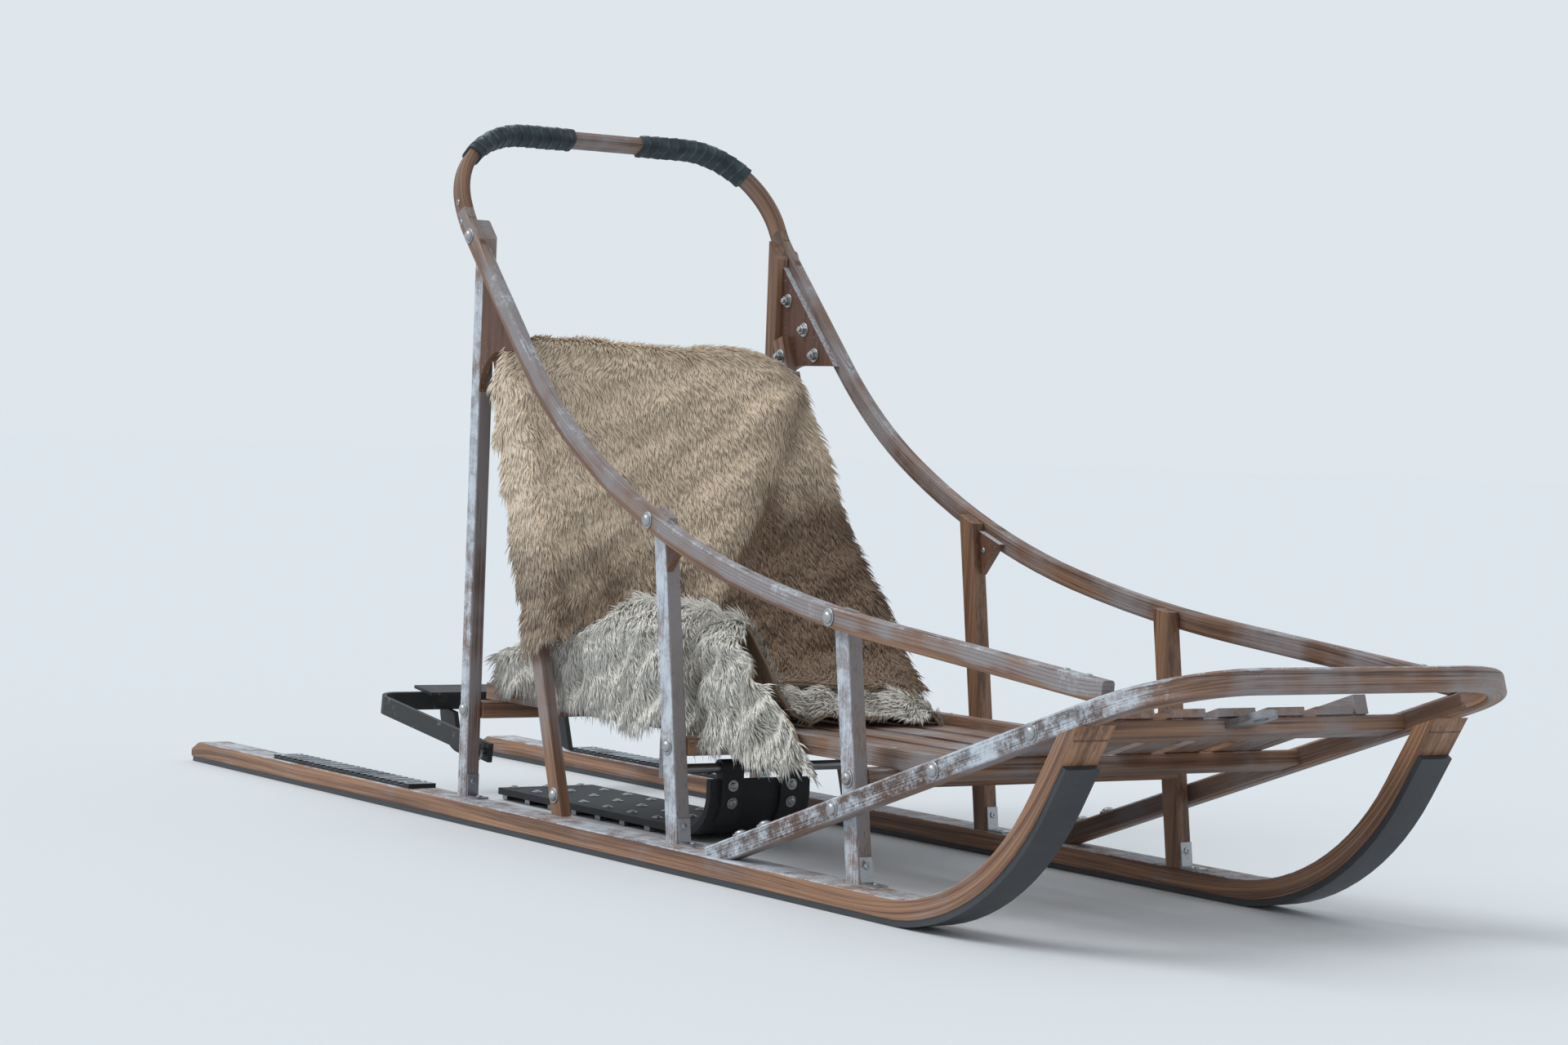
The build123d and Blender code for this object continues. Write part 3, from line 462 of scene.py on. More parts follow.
# Each finish with the CAD nodes that wear it
boltSteel = steelFinish("bolt_steel", (0.48, 0.49, 0.50), rust=0.35)
coats = [
    # the rails come in two copies: the far one darker (warm 0.8, less frost) as painted shade, the near one
    # greyer and frostier, partly frost and partly painted light
    (woodFinish("rail_far_painted_shade", alongRail, grey=0.5, frost=0.4, outer=0.12, glue=0.0047, warm=0.8),
     "side_rail_left"),
    (woodFinish("rail_near_frost_and_painted_light", alongRail, grey=0.75, frost=0.6, outer=0.35, glue=0.0047, bare=-0.006),
     "side_rail_right"),
    (woodFinish("bow_bent", alongHandle, grey=0.35, frost=0.4, outer=0.1, glue=0.006, warm=0.9),
     "handle_bow"),
    (woodFinish("brush_bent", alongBrush, grey=0.5, frost=0.8, outer=0.75, glue=0.006),
     "brush_bow"),
    (woodFinish("runner_bent", alongRunner, grey=0.2, frost=1.0, glue=0.0065, warm=1.15),
     "runner_left runner_right"),
    # the posts likewise: the far ones darker as painted shade, the near ones greyer and frostier, partly
    # frost and partly painted light
    (woodFinish("post_far_painted_shade", alongZ, grey=0.2, frost=0.3, outer=0.1, warm=0.8),
     "rear_post_left middle_post_left front_post_left"),
    (woodFinish("post_near_frost_and_painted_light", alongZ, grey=0.8, frost=0.6, outer=1.0),
     "rear_post_right middle_post_right front_post_right"),
    (woodFinish("crossbar_wood", alongY, grey=0.35, frost=0.6, outer=0.2, warm=0.9),
     "rear_crossbar middle_crossbar front_crossbar slope_crossbar nose_crossbar"),
    (woodFinish("slat_wood", alongX, grey=0.55, frost=0.45, outer=0.2),
     "bed_slats bed_stringer_left bed_stringer_right"),
    (woodFinish("board_wood", alongY, grey=0.3, frost=0.4, warm=0.95),
     "backrest_boards"),
    (woodFinish("leg_wood", alongLeg, grey=0.3, frost=0.4, outer=0.1, warm=0.9),
     "backrest_leg_left backrest_leg_right"),
    (plyFinish("corner_ply"),
     "gusset_left gusset_right rail_knee_left rail_knee_right"),
    (moulded("shoe_plastic_black", (0.022, 0.024, 0.028), frost=0.2, roughness=0.42),
     "runner_shoe_left runner_shoe_right"),
    (moulded("pad_rubber_black", (0.014, 0.015, 0.017), frost=0.5, roughness=0.7),
     "foot_pad_left foot_pad_right"),
    (moulded("mat_rubber_black", (0.008, 0.009, 0.011), frost=0.12, roughness=0.62),
     "mat_sheet mat_straps"),
    (steelFinish("steel_worn", (0.42, 0.43, 0.45), rust=0.5),
     "mat_cleats mat_hanger tow_eye post_angles"),
    (steelFinish("black_painted_steel", (0.018, 0.019, 0.021), rust=0.35, paint=True),
     "brake_bow brake_claws"),
    (boltSteel, "brake_pin_left brake_pin_right"),
]
for finish, names in coats:
    for name in names.split():
        for cadSlot in nodes[name].material_slots:
            cadSlot.material = finish
print("wood, rubber and steel finishes")


# Tape wound round the hand grips: half the section's width and depth, and how round it is, 0 square and
# 1 round. Each turn advances by the pitch and lies a step over the last; taper is the drop at its ends
tape = {"half": (0.0133, 0.0183), "round": 0.55, "step": 0.0011, "pitch": 0.017, "turn": 48.0, "gap": 0.060,
        "ripple": 0.0003, "taper": 0.0036, "grid": (230, 48), "weave": 3000.0, "reach": 0.02,
        "dark": (0.012, 0.022, 0.028), "light": (0.035, 0.060, 0.070), "rubbed": (0.13, 0.155, 0.16)}


def tapeFinish():
    # woven cloth tape, dark blue-green, rubbed pale on its ridges; frost on top
    f = Finish("grip_tape")
    x, y, z = f.places()
    normalZ = f.facing()[2]
    place = f.vector(x, y, z)
    weft, warp = [abs(f.math("SINE", f.mark(way) * tape["weave"])) for way in ("along", "around")]
    weave = weft * warp
    broad, speck = f.noise(place, 35.0, 4.0, 0.6), f.noise(place, 420.0, 3.0, 0.7)
    colour = f.mix(f.smooth(broad, 0.3, 0.7), tape["dark"], tape["light"])
    rubbed = f.smooth(f.mark("ridge") + (broad - 0.5) * 0.8, 0.7, 1.05)
    colour = f.mix(rubbed * 0.5, colour, tape["rubbed"])
    rime = f.smooth(speck * 0.6 + broad * 0.5 + f.smooth(normalZ, 0.0, 0.9) * 0.35, 0.84, 1.08)
    f.set(Base_Color=f.mix(rime * 0.75, colour, wood["frost"]), Roughness=0.72 + rime * 0.15)
    f.set(Normal=f.bump(weave * 0.5 + speck * 0.4 + rime * speck, 0.0004, 0.8))
    return f.material


def rounded(wave):
    # a cosine or sine raised to a power below 1 with its sign kept, which squares the circle
    return np.sign(wave) * np.abs(wave) ** tape["round"]


def makeTape(name, way, finish, node):
    # the bow's own middle line carries a rounded rectangle that swells round each turn of the tape and
    # falls in one step: drop = step x (1 - fraction of (distance / pitch + angle / full turn))
    straight = bow["side"] - bow["corner"] - tape["gap"]
    length = bow["corner"] * np.radians(tape["turn"]) + straight
    rows, columns = tape["grid"]
    distance = np.linspace(0, length, rows)[:, None]
    angle = np.arange(columns)[None] * 2 * np.pi / columns
    bend = np.clip((distance - straight) / bow["corner"], 0, None)
    middleSide = tape["gap"] + np.minimum(distance, straight) + bow["corner"] * np.sin(bend)
    middleRise = bow["leg"] + bow["corner"] - bow["corner"] * (1 - np.cos(bend))
    turn = distance / tape["pitch"] + angle / (2 * np.pi)
    wound = turn - np.floor(turn)
    inner = np.ones((rows, 1))
    inner[[0, -1]] = 0.0
    drop = tape["step"] * (1 - wound) + tape["ripple"] * waves(distance * 60, angle, 2.0, 3)
    drop = drop * inner + (1 - inner) * tape["taper"]
    radial = (tape["half"][0] - drop) * rounded(np.cos(angle))
    deep = (tape["half"][1] - drop) * rounded(np.sin(angle))
    side, rise = way * (middleSide + radial * np.sin(bend)), middleRise + radial * np.cos(bend)
    points = np.stack([bow["foot"][0] - rise * np.sin(bow["lean"]) + deep * np.cos(bow["lean"]), side,
                       bow["foot"][1] + rise * np.cos(bow["lean"]) + deep * np.sin(bow["lean"])], -1)
    faces = gridFaces(rows, columns, True)
    faces = faces[:, ::-1] if way > 0 else faces
    around = tape["reach"] * angle
    marks = {"along": distance + 0 * angle, "around": around + 0 * distance, "ridge": wound * inner}
    obj = makePiece(name, points, faces, finish, marks=marks)
    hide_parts(node)


tapeCloth = tapeFinish()
makeTape("grip_tape_left", 1.0, tapeCloth, "grip_wrap_left")
makeTape("grip_tape_right", -1.0, tapeCloth, "grip_wrap_right")
print("grip tape")


# Hides. A hide is a skin on a grid, and hair in tufts that stand on the same surface
def alongPath(start, heading, moves, distance):
    # place and heading at each distance along runs (length, 0) and bends (radius, turn in degrees)
    places, headings = np.zeros(distance.shape + (2,)), np.zeros(distance.shape)
    here, turned, done = np.array(start, float), np.radians(heading), 0.0
    for size, turn in moves:
        past, end = distance >= done, turned + np.radians(turn)
        if turn:
            way, length = np.sign(turn), size * abs(np.radians(turn))
            centre = here + size * way * np.array([-np.sin(turned), np.cos(turned)])
            angle = turned + way * (distance - done) / size
            reached = centre + size * way * np.stack([np.sin(angle), -np.cos(angle)], -1)
            here = centre + size * way * np.array([np.sin(end), -np.cos(end)])
        else:
            ahead, length = np.array([np.cos(turned), np.sin(turned)]), size
            angle, reached = turned, here + (distance - done)[..., None] * ahead
            here = here + length * ahead
        places = np.where(past[..., None], reached, places)
        headings = np.where(past, angle, headings)
        turned, done = end, done + length
    return places, headings


# Tones are pale, deep and tip of the hair. Room is how far out hair may stand, above the rail and below it
brownHide = {"backFlap": 0.190, "foldRadius": 0.0213, "foldMiddle": 0.019, "rightSlope": 68.0,
             "rightBend": 0.030, "leftSlope": 53.0, "leftBend": 0.110, "seat": 0.2396, "seatReach": 0.030,
             "half": 0.241, "wrapFace": 0.2655, "wrapRadius": 0.016, "wrapReach": 0.020, "rise": 0.006,
             "creasePlace": (0.204, 0.609), "creaseWay": (0.777, -0.629), "seed": 40, "grid": (160, 90),
             "hair": 0.019, "hairWidth": 0.0032, "lift": 0.17, "spread": 0.16, "droop": 0.12, "swirl": 0.20,
             "tufts": 19000, "room": (0.2675, 0.282),
             "tones": ((0.95, 0.79, 0.60), (0.21, 0.122, 0.068), (0.97, 0.88, 0.75))}
upTurn = 90.0 + np.degrees(backrest["lean"])  # heading of the way up the backrest's back
foldCentre = backrest["foot"] + backUp * backrest["top"] + backFront * brownHide["foldMiddle"]
hideStart = foldCentre - backUp * brownHide["backFlap"] - backFront * brownHide["foldRadius"]


def hideRuns(slope, bend):
    # moves of the line over the backrest whose front falls at that slope, and how far along each one ends
    steep = np.radians(slope)
    top = foldCentre[1] + brownHide["foldRadius"] * np.cos(steep)
    run = (top - brownHide["seat"] - bend * (1 - np.cos(steep))) / np.sin(steep)
    moves = [(brownHide["backFlap"], 0), (brownHide["foldRadius"], -(upTurn + slope)), (run, 0),
             (bend, slope), (brownHide["seatReach"], 0)]
    lengths = [size * np.radians(abs(angle)) if angle else size for size, angle in moves]
    return moves, np.concatenate([[0], np.cumsum(lengths)])


rightRuns = hideRuns(brownHide["rightSlope"], brownHide["rightBend"])
leftRuns = hideRuns(brownHide["leftSlope"], brownHide["leftBend"])
hideEnds = (rightRuns[1] + leftRuns[1]) / 2
hideLength = float(hideEnds[-1])


def brownEdges(v, distance, down, forward):
    # how far the hide reaches to the right and to the left, both along one ragged line. Both are narrow on
    # the flap; the right one then reaches round the leg, and the left one ends in a quarter of an ellipse
    face, radius = brownHide["wrapFace"], brownHide["wrapRadius"]
    ragged = 0.006 * waves(distance, 0 * distance, 0.09, 5) + 0.004 * waves(distance, 0 * distance, 0.035, 6)
    wrapped = face - radius + radius * np.pi / 2 + forward + brownHide["wrapReach"] - radius
    right = 0.170 + 0.064 * ease(down, -0.05, 0.0) + ragged * 0.6
    right = right + (wrapped + ragged - right) * ease(down, 0.004, 0.07)
    left = 0.145 + 0.036 * ease(down, -0.04, 0.01) + 0.070 * ease(down, 0.0, 0.06) + ragged[::-1] * 0.8
    left = np.minimum(left + 0.03 * ease(down, -0.03, -0.16), 0.250)
    left = left - 0.085 * (1 - np.sqrt(1 - np.clip((v - 0.86) / 0.14, 0, 1) ** 2))
    return right, left, ragged


def brownCrease(y, z):
    # how far a place lies past the straight crease over the hide's front
    (creaseY, creaseZ), (wayY, wayZ) = brownHide["creasePlace"], brownHide["creaseWay"]
    return (y - creaseY) * wayY + (z - creaseZ) * wayZ


def brownFolds(u, v, y, z, distance, down, past, share):
    # height over the carried lines: ripples, a dent along the crease with a swell beside it, the left edge
    # and the left front drawn in, a full middle, and an end pressed onto the seat
    crease = brownCrease(y, z)
    within = ease(z, 0.34, 0.42) * ease(z, 0.68, 0.60) * ease(down, 0.0, 0.05)
    ripples = 0.0055 * waves(y, distance, 0.22, 7) + 0.002 * waves(y, distance, 0.07, 8)
    h = brownHide["rise"] + (1 - ease(past, 0.0, 0.02)) * ripples
    h = h - within * (0.013 * bell(crease, 0.0, 0.018) + 0.008 * ease(crease, -0.01, 0.03))
    h = h + within * 0.008 * bell(crease, -0.045, 0.035)
    h = h - 0.014 * np.clip(u, 0, 1) ** 7 * ease(down, -0.02, 0.05)
    h = h - 0.012 * share ** 2 * bell(z, 0.45, 0.12) * ease(down, 0.02, 0.1)
    h = h + 0.006 * (1 - u * u) * ease(down, 0.02, 0.16) * ease(down, 0.52, 0.30)
    return h - (0.009 + 0.005 * share) * ease(v, 0.92, 1.0)


def brownHideAt(u, v):
    # two lines over the backrest, a steep one on the right and a flatter one on the left, carry straight
    # lines across. Their ends follow the hide's ragged edge, and the right one turns back round the leg.
    # The surface rises and falls along its own normal by its folds
    u, v = np.broadcast_arrays(np.asarray(u, float), np.asarray(v, float))
    short = 0.186 - 0.026 * ease(u, -0.58, -0.68) + 0.008 * waves(u * 0.3, 0 * u, 0.12, 9)
    v = v * (1 - ease(u, -0.13, -0.33) * short)  # the right part ends higher up
    distance = v * hideLength
    down = distance - brownHide["backFlap"] - 0.03  # past the fold at the top
    (rightPlace, rightTurn), (leftPlace, leftTurn) = [
        alongPath(hideStart, upTurn, moves, np.interp(distance, hideEnds, ends))
        for moves, ends in (rightRuns, leftRuns)]
    face, radius = brownHide["wrapFace"], brownHide["wrapRadius"]
    right, left, ragged = brownEdges(v, distance, down, (rightPlace - backrest["foot"]) @ backFront)
    across = (left - right) / 2 + u * (left + right) / 2
    past = np.maximum(-across - (face - radius), 0)
    angle = np.minimum(past / radius, np.pi / 2)
    y = np.where(past > 0, -(face - radius) - radius * np.sin(angle), across)
    back = radius * (1 - np.cos(angle)) + np.maximum(past - radius * np.pi / 2, 0)
    share = np.clip((y + brownHide["half"]) / (2 * brownHide["half"]), 0, 1)
    places = rightPlace * (1 - share)[..., None] + leftPlace * share[..., None]
    headings = rightTurn * (1 - share) + leftTurn * share
    h = brownFolds(u, v, y, places[..., 1], distance, down, past, share) - back
    y = y - (ragged * 0.25 - 0.001) * ease(back, 0.02, 0.05)
    return np.stack([places[..., 0] - np.sin(headings) * h, y, places[..., 1] + np.cos(headings) * h], -1)


def brownPatchesAndCreaseShade(points):
    # pale over the top, duller low on the right, dark brown past the crease, and painted shade in a dark line
    # along the crease dent; 0 dark to 1 pale
    y, z = points[..., 1], points[..., 2]
    crease = brownCrease(y, z)
    past = ease(crease, -0.014, 0.016)
    tone = 0.83 + 0.14 * bell(y, -0.03, 0.22) * bell(z, 0.70, 0.06)
    tone = tone + 0.14 * bell(y, -0.02, 0.06) * bell(z, 0.56, 0.09)
    tone = tone - 0.62 * ease(z, 0.51, 0.33) * ease(y, 0.04, -0.12) - 0.15 * past
    # the dark line along the crease dent is painted shade
    tone = tone - 0.66 * past * ease(z, 0.54, 0.45) - 0.30 * bell(crease, 0.004, 0.016)
    return np.clip(tone + 0.09 * waves(y, z, 0.11, 11) + 0.04 * waves(y, z, 0.03, 12), 0, 1)


# Ends are places in x of the front edge over bed, crest and hem; crestRear and crestTop are (x, z)
creamHide = {"start": -0.360, "bedEnd": 0.213, "crestEnd": 0.215, "hemEnd": 0.463, "leftEdge": 0.182,
             "side": -0.232, "bed": 0.216, "crestRear": (-0.347, 0.262), "crestTop": (-0.035, 0.347),
             "hemRear": 0.208, "hemFall": 0.058 / 0.81, "valley": 0.165, "seed": 70, "grid": (150, 130),
             "hair": 0.026, "hairWidth": 0.0035, "lift": 0.28, "spread": 0.30, "droop": 0.3, "swirl": 0.45,
             "tufts": 19000, "room": (0.2465, 0.2465),
             "tones": ((0.96, 0.94, 0.87), (0.54, 0.50, 0.43), (0.97, 0.96, 0.92))}


def creamValley(x, z, width):
    # 1 along a furrow that runs down the heap's side, leaning a little forward as it falls
    return bell(x - (0.26 - z) * 0.12, creamHide["valley"], width)


def creamHideAt(u, v):
    # across the bed from its far edge, up over the heap along the right side, then down outside to the
    # hem: v runs that way and u from the rear to the front edge, which slants down to the hem
    u, v = np.broadcast_arrays(np.asarray(u, float), np.asarray(v, float))
    bed, up = ease(v, 0.36, 0.55), ease(v, 0.42, 0.60)
    over, drop = ease(v, 0.56, 0.70), np.clip((v - 0.60) / 0.40, 0, 1)
    start, bedEnd, crestEnd, hemEnd = [creamHide[key] for key in ("start", "bedEnd", "crestEnd", "hemEnd")]
    front = bedEnd + (crestEnd - bedEnd) * bed + (hemEnd - crestEnd) * drop ** 0.9
    front = front + 0.008 * waves(v * 0.6, 0 * v, 0.08, 21)
    x = start + (u + 1) / 2 * (front - start)
    (rearX, rearZ), (topX, topZ) = creamHide["crestRear"], creamHide["crestTop"]
    crest = np.where(x < topX, rearZ + (x - rearX) / (topX - rearX) * (topZ - rearZ), topZ)
    crest = crest - 0.003 - 0.006 * (1 + waves(x, 0 * x, 0.16, 22))
    hem = creamHide["hemRear"] - (x - rearX) * creamHide["hemFall"] + 0.006 * waves(x, 0 * x, 0.10, 23)
    flat = creamHide["bed"] + 0.005 * waves(x, v * 0.7, 0.13, 24)
    y = creamHide["leftEdge"] - np.minimum(v / 0.44, 1) * 0.262 - ease(v, 0.42, 0.58) * 0.070 - over * 0.070
    z = flat - 0.026 * ease(v, 0.045, 0.0) + (crest - flat) * up
    z = z + (hem - crest) * drop ** 1.15
    valley = creamValley(x, z, 0.016)
    fold = 0.006 * waves(x, z * 0.4, 0.10, 25) + 0.004 * waves(x, z * 0.5, 0.045, 26) - 0.011 * valley
    y = np.maximum(y - fold * over, creamHide["side"])
    z = z - 0.020 * valley * up * (1 - drop)
    z = z + 0.006 * waves(x, y, 0.06, 27) * (1 - drop) * ease(v, 0.05, 0.15)
    z = z - 0.018 * ease(u, 0.86, 1.0) * (1 - drop)
    return np.stack([x, y, z], -1)


def creamTonesPaintedLightAndShade(points):
    # grey-cream in random patches, with painted light over the top of the heap and painted shade in the
    # furrow beside the middle post and towards the rear; 0 dark to 1 pale
    x, y, z = points[..., 0], points[..., 1], points[..., 2]
    # the rise towards the top of the heap is painted light
    tone = 0.72 + 0.20 * waves(x, z + y, 0.12, 31) + 0.10 * waves(x, z, 0.04, 32) + 0.22 * ease(z, 0.26, 0.34)
    # darker in the furrow and towards the rear: painted shade
    return np.clip(tone - 0.55 * creamValley(x, z, 0.018) - 0.22 * ease(x, -0.05, -0.25), 0, 1)


fur = {"streak": (170, 420, 90), "bump": 0.0015, "shares": ((0.0, 0.58), (0.58, 1.0))}


def hideFinish(name, pale, deep, tip, hairy):
    # hair: darker at its root as painted shade deep in the fur, paler at its tip, streaked from tuft to tuft;
    # without hair, the skin beneath it, darkened as painted shade under the hair
    f = Finish(name, Roughness=0.85, Sheen_Weight=0.25, Sheen_Roughness=0.5)
    x, y, z = f.places()
    place = f.vector(x, y, z)
    streak, fine = f.streaks((x, y, z), fur["streak"], 3.0), f.noise(place, 900.0, 2.0)
    # the patch mark brings in the hide's tones, with their painted light and shade
    tone = f.mark("patch") + (streak - 0.5) * 0.35
    if hairy:
        tone = tone + (f.mark("shade") - 0.5) * 0.22
    colour = f.mix(f.smooth(tone, -0.1, 0.95), deep, pale)
    if hairy:
        end = f.mark("end")
        # painted shade at the roots, deep in the fur
        colour = f.mix(f.smooth(end, 0.45, 0.0) * 0.3, colour, tuple(c * 0.8 for c in deep))
        colour = f.mix(f.smooth(end, 0.5, 1.0) * f.mark("patch") * 0.6, colour, tip)
    else:
        # painted shade on the skin under the hair
        colour = f.mix(0.30, colour, tuple(c * 0.7 for c in deep))
    f.set(Base_Color=colour)
    f.set(Normal=f.bump(streak + fine * 0.5, fur["bump"], 0.6))
    return f.material


leather = {"dark": (0.33, 0.235, 0.16), "light": (0.52, 0.42, 0.31), "crease": (0.20, 0.13, 0.08),
           "thickness": 0.004}


def leatherFinish():
    # the flesh side: pale tan suede, with creases along the cell walls of a pattern
    f = Finish("hide_leather", Roughness=0.9)
    x, y, z = f.places()
    place = f.vector(x, y, z)
    broad, nap = f.noise(place, 12.0, 4.0, 0.6), f.noise(place, 700.0, 3.0, 0.6)
    wavy = f.vector(x + broad * 0.02, y + nap * 0.01, z)
    veins = f.add("ShaderNodeTexVoronoi", {"feature": "DISTANCE_TO_EDGE"}, {"Vector": wavy, "Scale": 150.0})
    crease = f.smooth(veins, 0.08, 0.0) * f.smooth(broad, 0.5, 0.62)
    colour = f.mix(broad, leather["dark"], leather["light"])
    colour = f.mix(crease * 0.25 + f.smooth(nap, 0.6, 0.4) * 0.12, colour, leather["crease"])
    f.set(Base_Color=colour, Normal=f.bump(nap * 0.5 + broad - crease * 0.3, 0.0008, 0.7))
    return f.material


def makeSkin(kind, surface, patch, values, finish, flesh):
    # the surface on an even grid of u and v, with a wall of leather below it
    rows, columns = values["grid"]
    points = surface(np.linspace(-1, 1, columns)[None], np.linspace(0, 1, rows)[:, None])
    faces = gridFaces(rows, columns)[:, ::-1]
    marks = {"patch": patch(points)}
    obj = makePiece(f"{kind}_reindeer_hide", points, faces, finish, marks=marks)
    obj.data.materials.append(flesh)
    wall = obj.modifiers.new("skin", "SOLIDIFY")
    wall.thickness, wall.offset = leather["thickness"], -1.0
    wall.material_offset, wall.material_offset_rim = 1, 1
    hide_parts(f"{kind}_hide")
    return obj


def makeHair(name, surface, patch, values, low, high, seed, finish):
    # each tuft is a three-sided spike in two lengths: its root ring, a smaller ring half way, its tip.
    # The first length leans up from the lay, the second falls back to it and droops
    rng = np.random.default_rng(seed)
    count = values["tufts"]
    u = rng.uniform(-1, 1, count)
    v = rng.uniform(low, high, count)
    roots = surface(u, v)
    across, down = surface(u + 1e-3, v) - roots, unit(surface(u, v + 1e-3) - roots)
    normal = unit(np.cross(down, across))
    side = np.cross(normal, down)
    swing = values["swirl"] * waves(roots[:, 1] + roots[:, 0], roots[:, 2], 0.06, seed + 1)
    swing = swing + rng.normal(0, values["spread"], count)
    edge = np.clip(np.abs(u) * 8 - 7, 0, 1) * np.sign(u)
    outward = unit(across) * (edge * 0.9)[:, None]
    lay = unit(down * np.cos(swing)[:, None] + side * np.sin(swing)[:, None] + outward)
    lift = values["lift"] * rng.uniform(0.5, 1.4, count)
    first = lay * np.cos(lift)[:, None] + normal * np.sin(lift)[:, None]
    second = unit(lay * np.cos(lift * 0.3)[:, None] + normal * np.sin(lift * 0.3)[:, None]
                  + np.array([0, 0, -values["droop"]]))
    length = values["hair"] * rng.uniform(0.65, 1.35, count)
    middle = roots + first * (length * 0.5)[:, None]
    tip = middle + second * (length * 0.5)[:, None]
    turn = np.array([0, 2, 4]) * np.pi / 3 + 0.3
    upright = np.cross(first, side)
    ring = side[:, None] * np.cos(turn)[:, None] + upright[:, None] * np.sin(turn)[:, None]
    width = (values["hairWidth"] * rng.uniform(0.7, 1.3, count) / 2)[:, None, None]
    points = np.concatenate([roots[:, None] - first[:, None] * 0.001 + ring * width,
                             middle[:, None] + ring * width * 0.62, tip[:, None]], 1)
    below = points[..., 2] < np.polyval(railTerms, np.clip(points[..., 0], -0.36, 1.1)) - 0.03
    room = np.where(below, values["room"][1], values["room"][0])
    points[..., 1] = np.clip(points[..., 1], -room, room)
    base = np.arange(count)[:, None, None] * 7
    quads = np.array([[0, 1, 4, 3], [1, 2, 5, 4], [2, 0, 3, 5]])
    sharp = np.array([[3, 4, 6], [4, 5, 6], [5, 3, 6], [2, 1, 0]])
    end = np.tile([0, 0, 0, 0.55, 0.55, 0.55, 1.0], (count, 1))
    marks = {"end": end, "shade": np.repeat(rng.uniform(0, 1, count), 7), "patch": np.repeat(patch(roots), 7)}
    faces = [(base + quads).reshape(-1, 4), (base + sharp).reshape(-1, 3)]
    return makePiece(name, points, faces, finish, marks=marks)


def makeHide(kind, surface, patch, values, flesh):
    # the skin, then its hair in two pieces, one over each share of v
    hair = hideFinish(f"{kind}_hair", *values["tones"], True)
    undercoat_painted_shade = hideFinish(f"{kind}_undercoat", *values["tones"], False)
    skin = makeSkin(kind, surface, patch, values, undercoat_painted_shade, flesh)
    return skin, [makeHair(f"{kind}_hair_{k + 1}", surface, patch, values, low, high, values["seed"] + 10 * k,
                           hair) for k, (low, high) in enumerate(fur["shares"])]


flesh = leatherFinish()
brown, brownParts = makeHide("brown", brownHideAt, brownPatchesAndCreaseShade, brownHide, flesh)
cream, creamParts = makeHide("cream", creamHideAt, creamTonesPaintedLightAndShade, creamHide, flesh)
print("hides and hair")


# Fasteners. Each kind is a few turned profiles of (radius, height) with their number of sides, on one axis
fastenerShapes = {
    "bolt": [([(0.0115, 0.0), (0.0115, 0.0014), (0.0108, 0.0018)], 20),
             ([(0.0085, 0.0018), (0.0085, 0.0026), (0.0074, 0.0045), (0.0050, 0.0060),
               (0.0020, 0.0067)], 20)],
    "nut": [([(0.0110, 0.0), (0.0110, 0.0014), (0.0104, 0.0018)], 20),
            ([(0.0074, 0.0018), (0.0074, 0.0074), (0.0066, 0.0082)], 6),
            ([(0.0040, 0.0075), (0.0040, 0.0112), (0.0032, 0.0120)], 12)],
    "screw": [([(0.0046, 0.0), (0.0046, 0.0007), (0.0038, 0.0015), (0.0020, 0.0017), (0.0017, 0.0004)], 12)],
    "rivet": [([(0.0085, 0.0), (0.0085, 0.0010), (0.0080, 0.0013)], 16),
              ([(0.0052, 0.0013), (0.0050, 0.0024), (0.0030, 0.0034)], 12)],
}
# where they sit, in m: posts are (x at the crossbar, lean in degrees); plates, legFoot, railTop and
# handleFoot are (x, z); boards and legNut run up the backrest; heights are z, sides are y, the rest x.
# boardShift, padHalf and matPitch space the members of a row, and matRows counts rows
fastened = {
    "posts": {"rear": (-0.375, 0.0), "middle": (0.190, 8.0), "front": (0.610, 8.0)}, "barHeight": 0.162,
    "angleHeights": (0.034, 0.057), "angleSide": 0.258, "brushBolts": (0.614, 0.819, 1.004),
    "brushFeet": (0.395, 0.450), "nose": (1.045, 1.085), "boards": (0.330, 0.485, 0.640), "boardShift": 0.018,
    "boardSide": 0.250, "plates": ((-0.345, 0.712), (-0.345, 0.790), (-0.298, 0.745), (-0.268, 0.706)),
    "legFoot": (-0.122, 0.062), "legNut": 0.706, "railTop": (-0.402, 0.878), "handleFoot": (-0.413, 0.908),
    "pads": (-0.505, -0.925), "padSide": 0.275, "padHalf": 0.014, "slatBars": (-0.375, 0.610, 0.819, 1.004),
    "slatSides": (-0.156, -0.078, 0.0, 0.078, 0.156), "strapSides": (-0.05, 0.05),
    "strapHeights": (0.060, 0.085),
    "matStart": -0.583, "matPitch": 0.07, "matRows": 7, "matSides": (-0.06, 0.0, 0.06),
}


def turnedShape(profile, sides, sunk):
    # the profile turned round z and closed on the axis at both ends; its foot is sunk into the face
    radius, height = np.array(profile).T
    radius, height = np.r_[radius[0], radius], np.r_[height[0] - sunk, height]
    angle = np.arange(sides) * 2 * np.pi / sides
    rings = np.stack([radius[:, None] * np.cos(angle), radius[:, None] * np.sin(angle),
                      height[:, None] + 0 * angle], -1).reshape(-1, 3)
    points = np.concatenate([rings, [[0, 0, height[0]], [0, 0, height[-1]]]])
    j, k = np.arange(sides), (np.arange(sides) + 1) % sides
    foot, last = len(rings), len(rings) - sides
    under, over = np.stack([0 * j + foot, k, j], -1), np.stack([0 * j + foot + 1, last + j, last + k], -1)
    return points, gridFaces(len(radius), sides, True), np.concatenate([under, over])


def landings(spots):
    # where the line from each start first meets its node, and which way that face looks
    hits = [nodes[node].ray_cast(Vector(start), Vector(way).normalized()) for node, start, way in spots]
    missed = [spot for spot, hit in zip(spots, hits) if not hit[0]]
    if missed:
        raise ValueError(f"no face under {missed}")
    return np.array([hit[1] for hit in hits]), np.array([hit[2] for hit in hits])


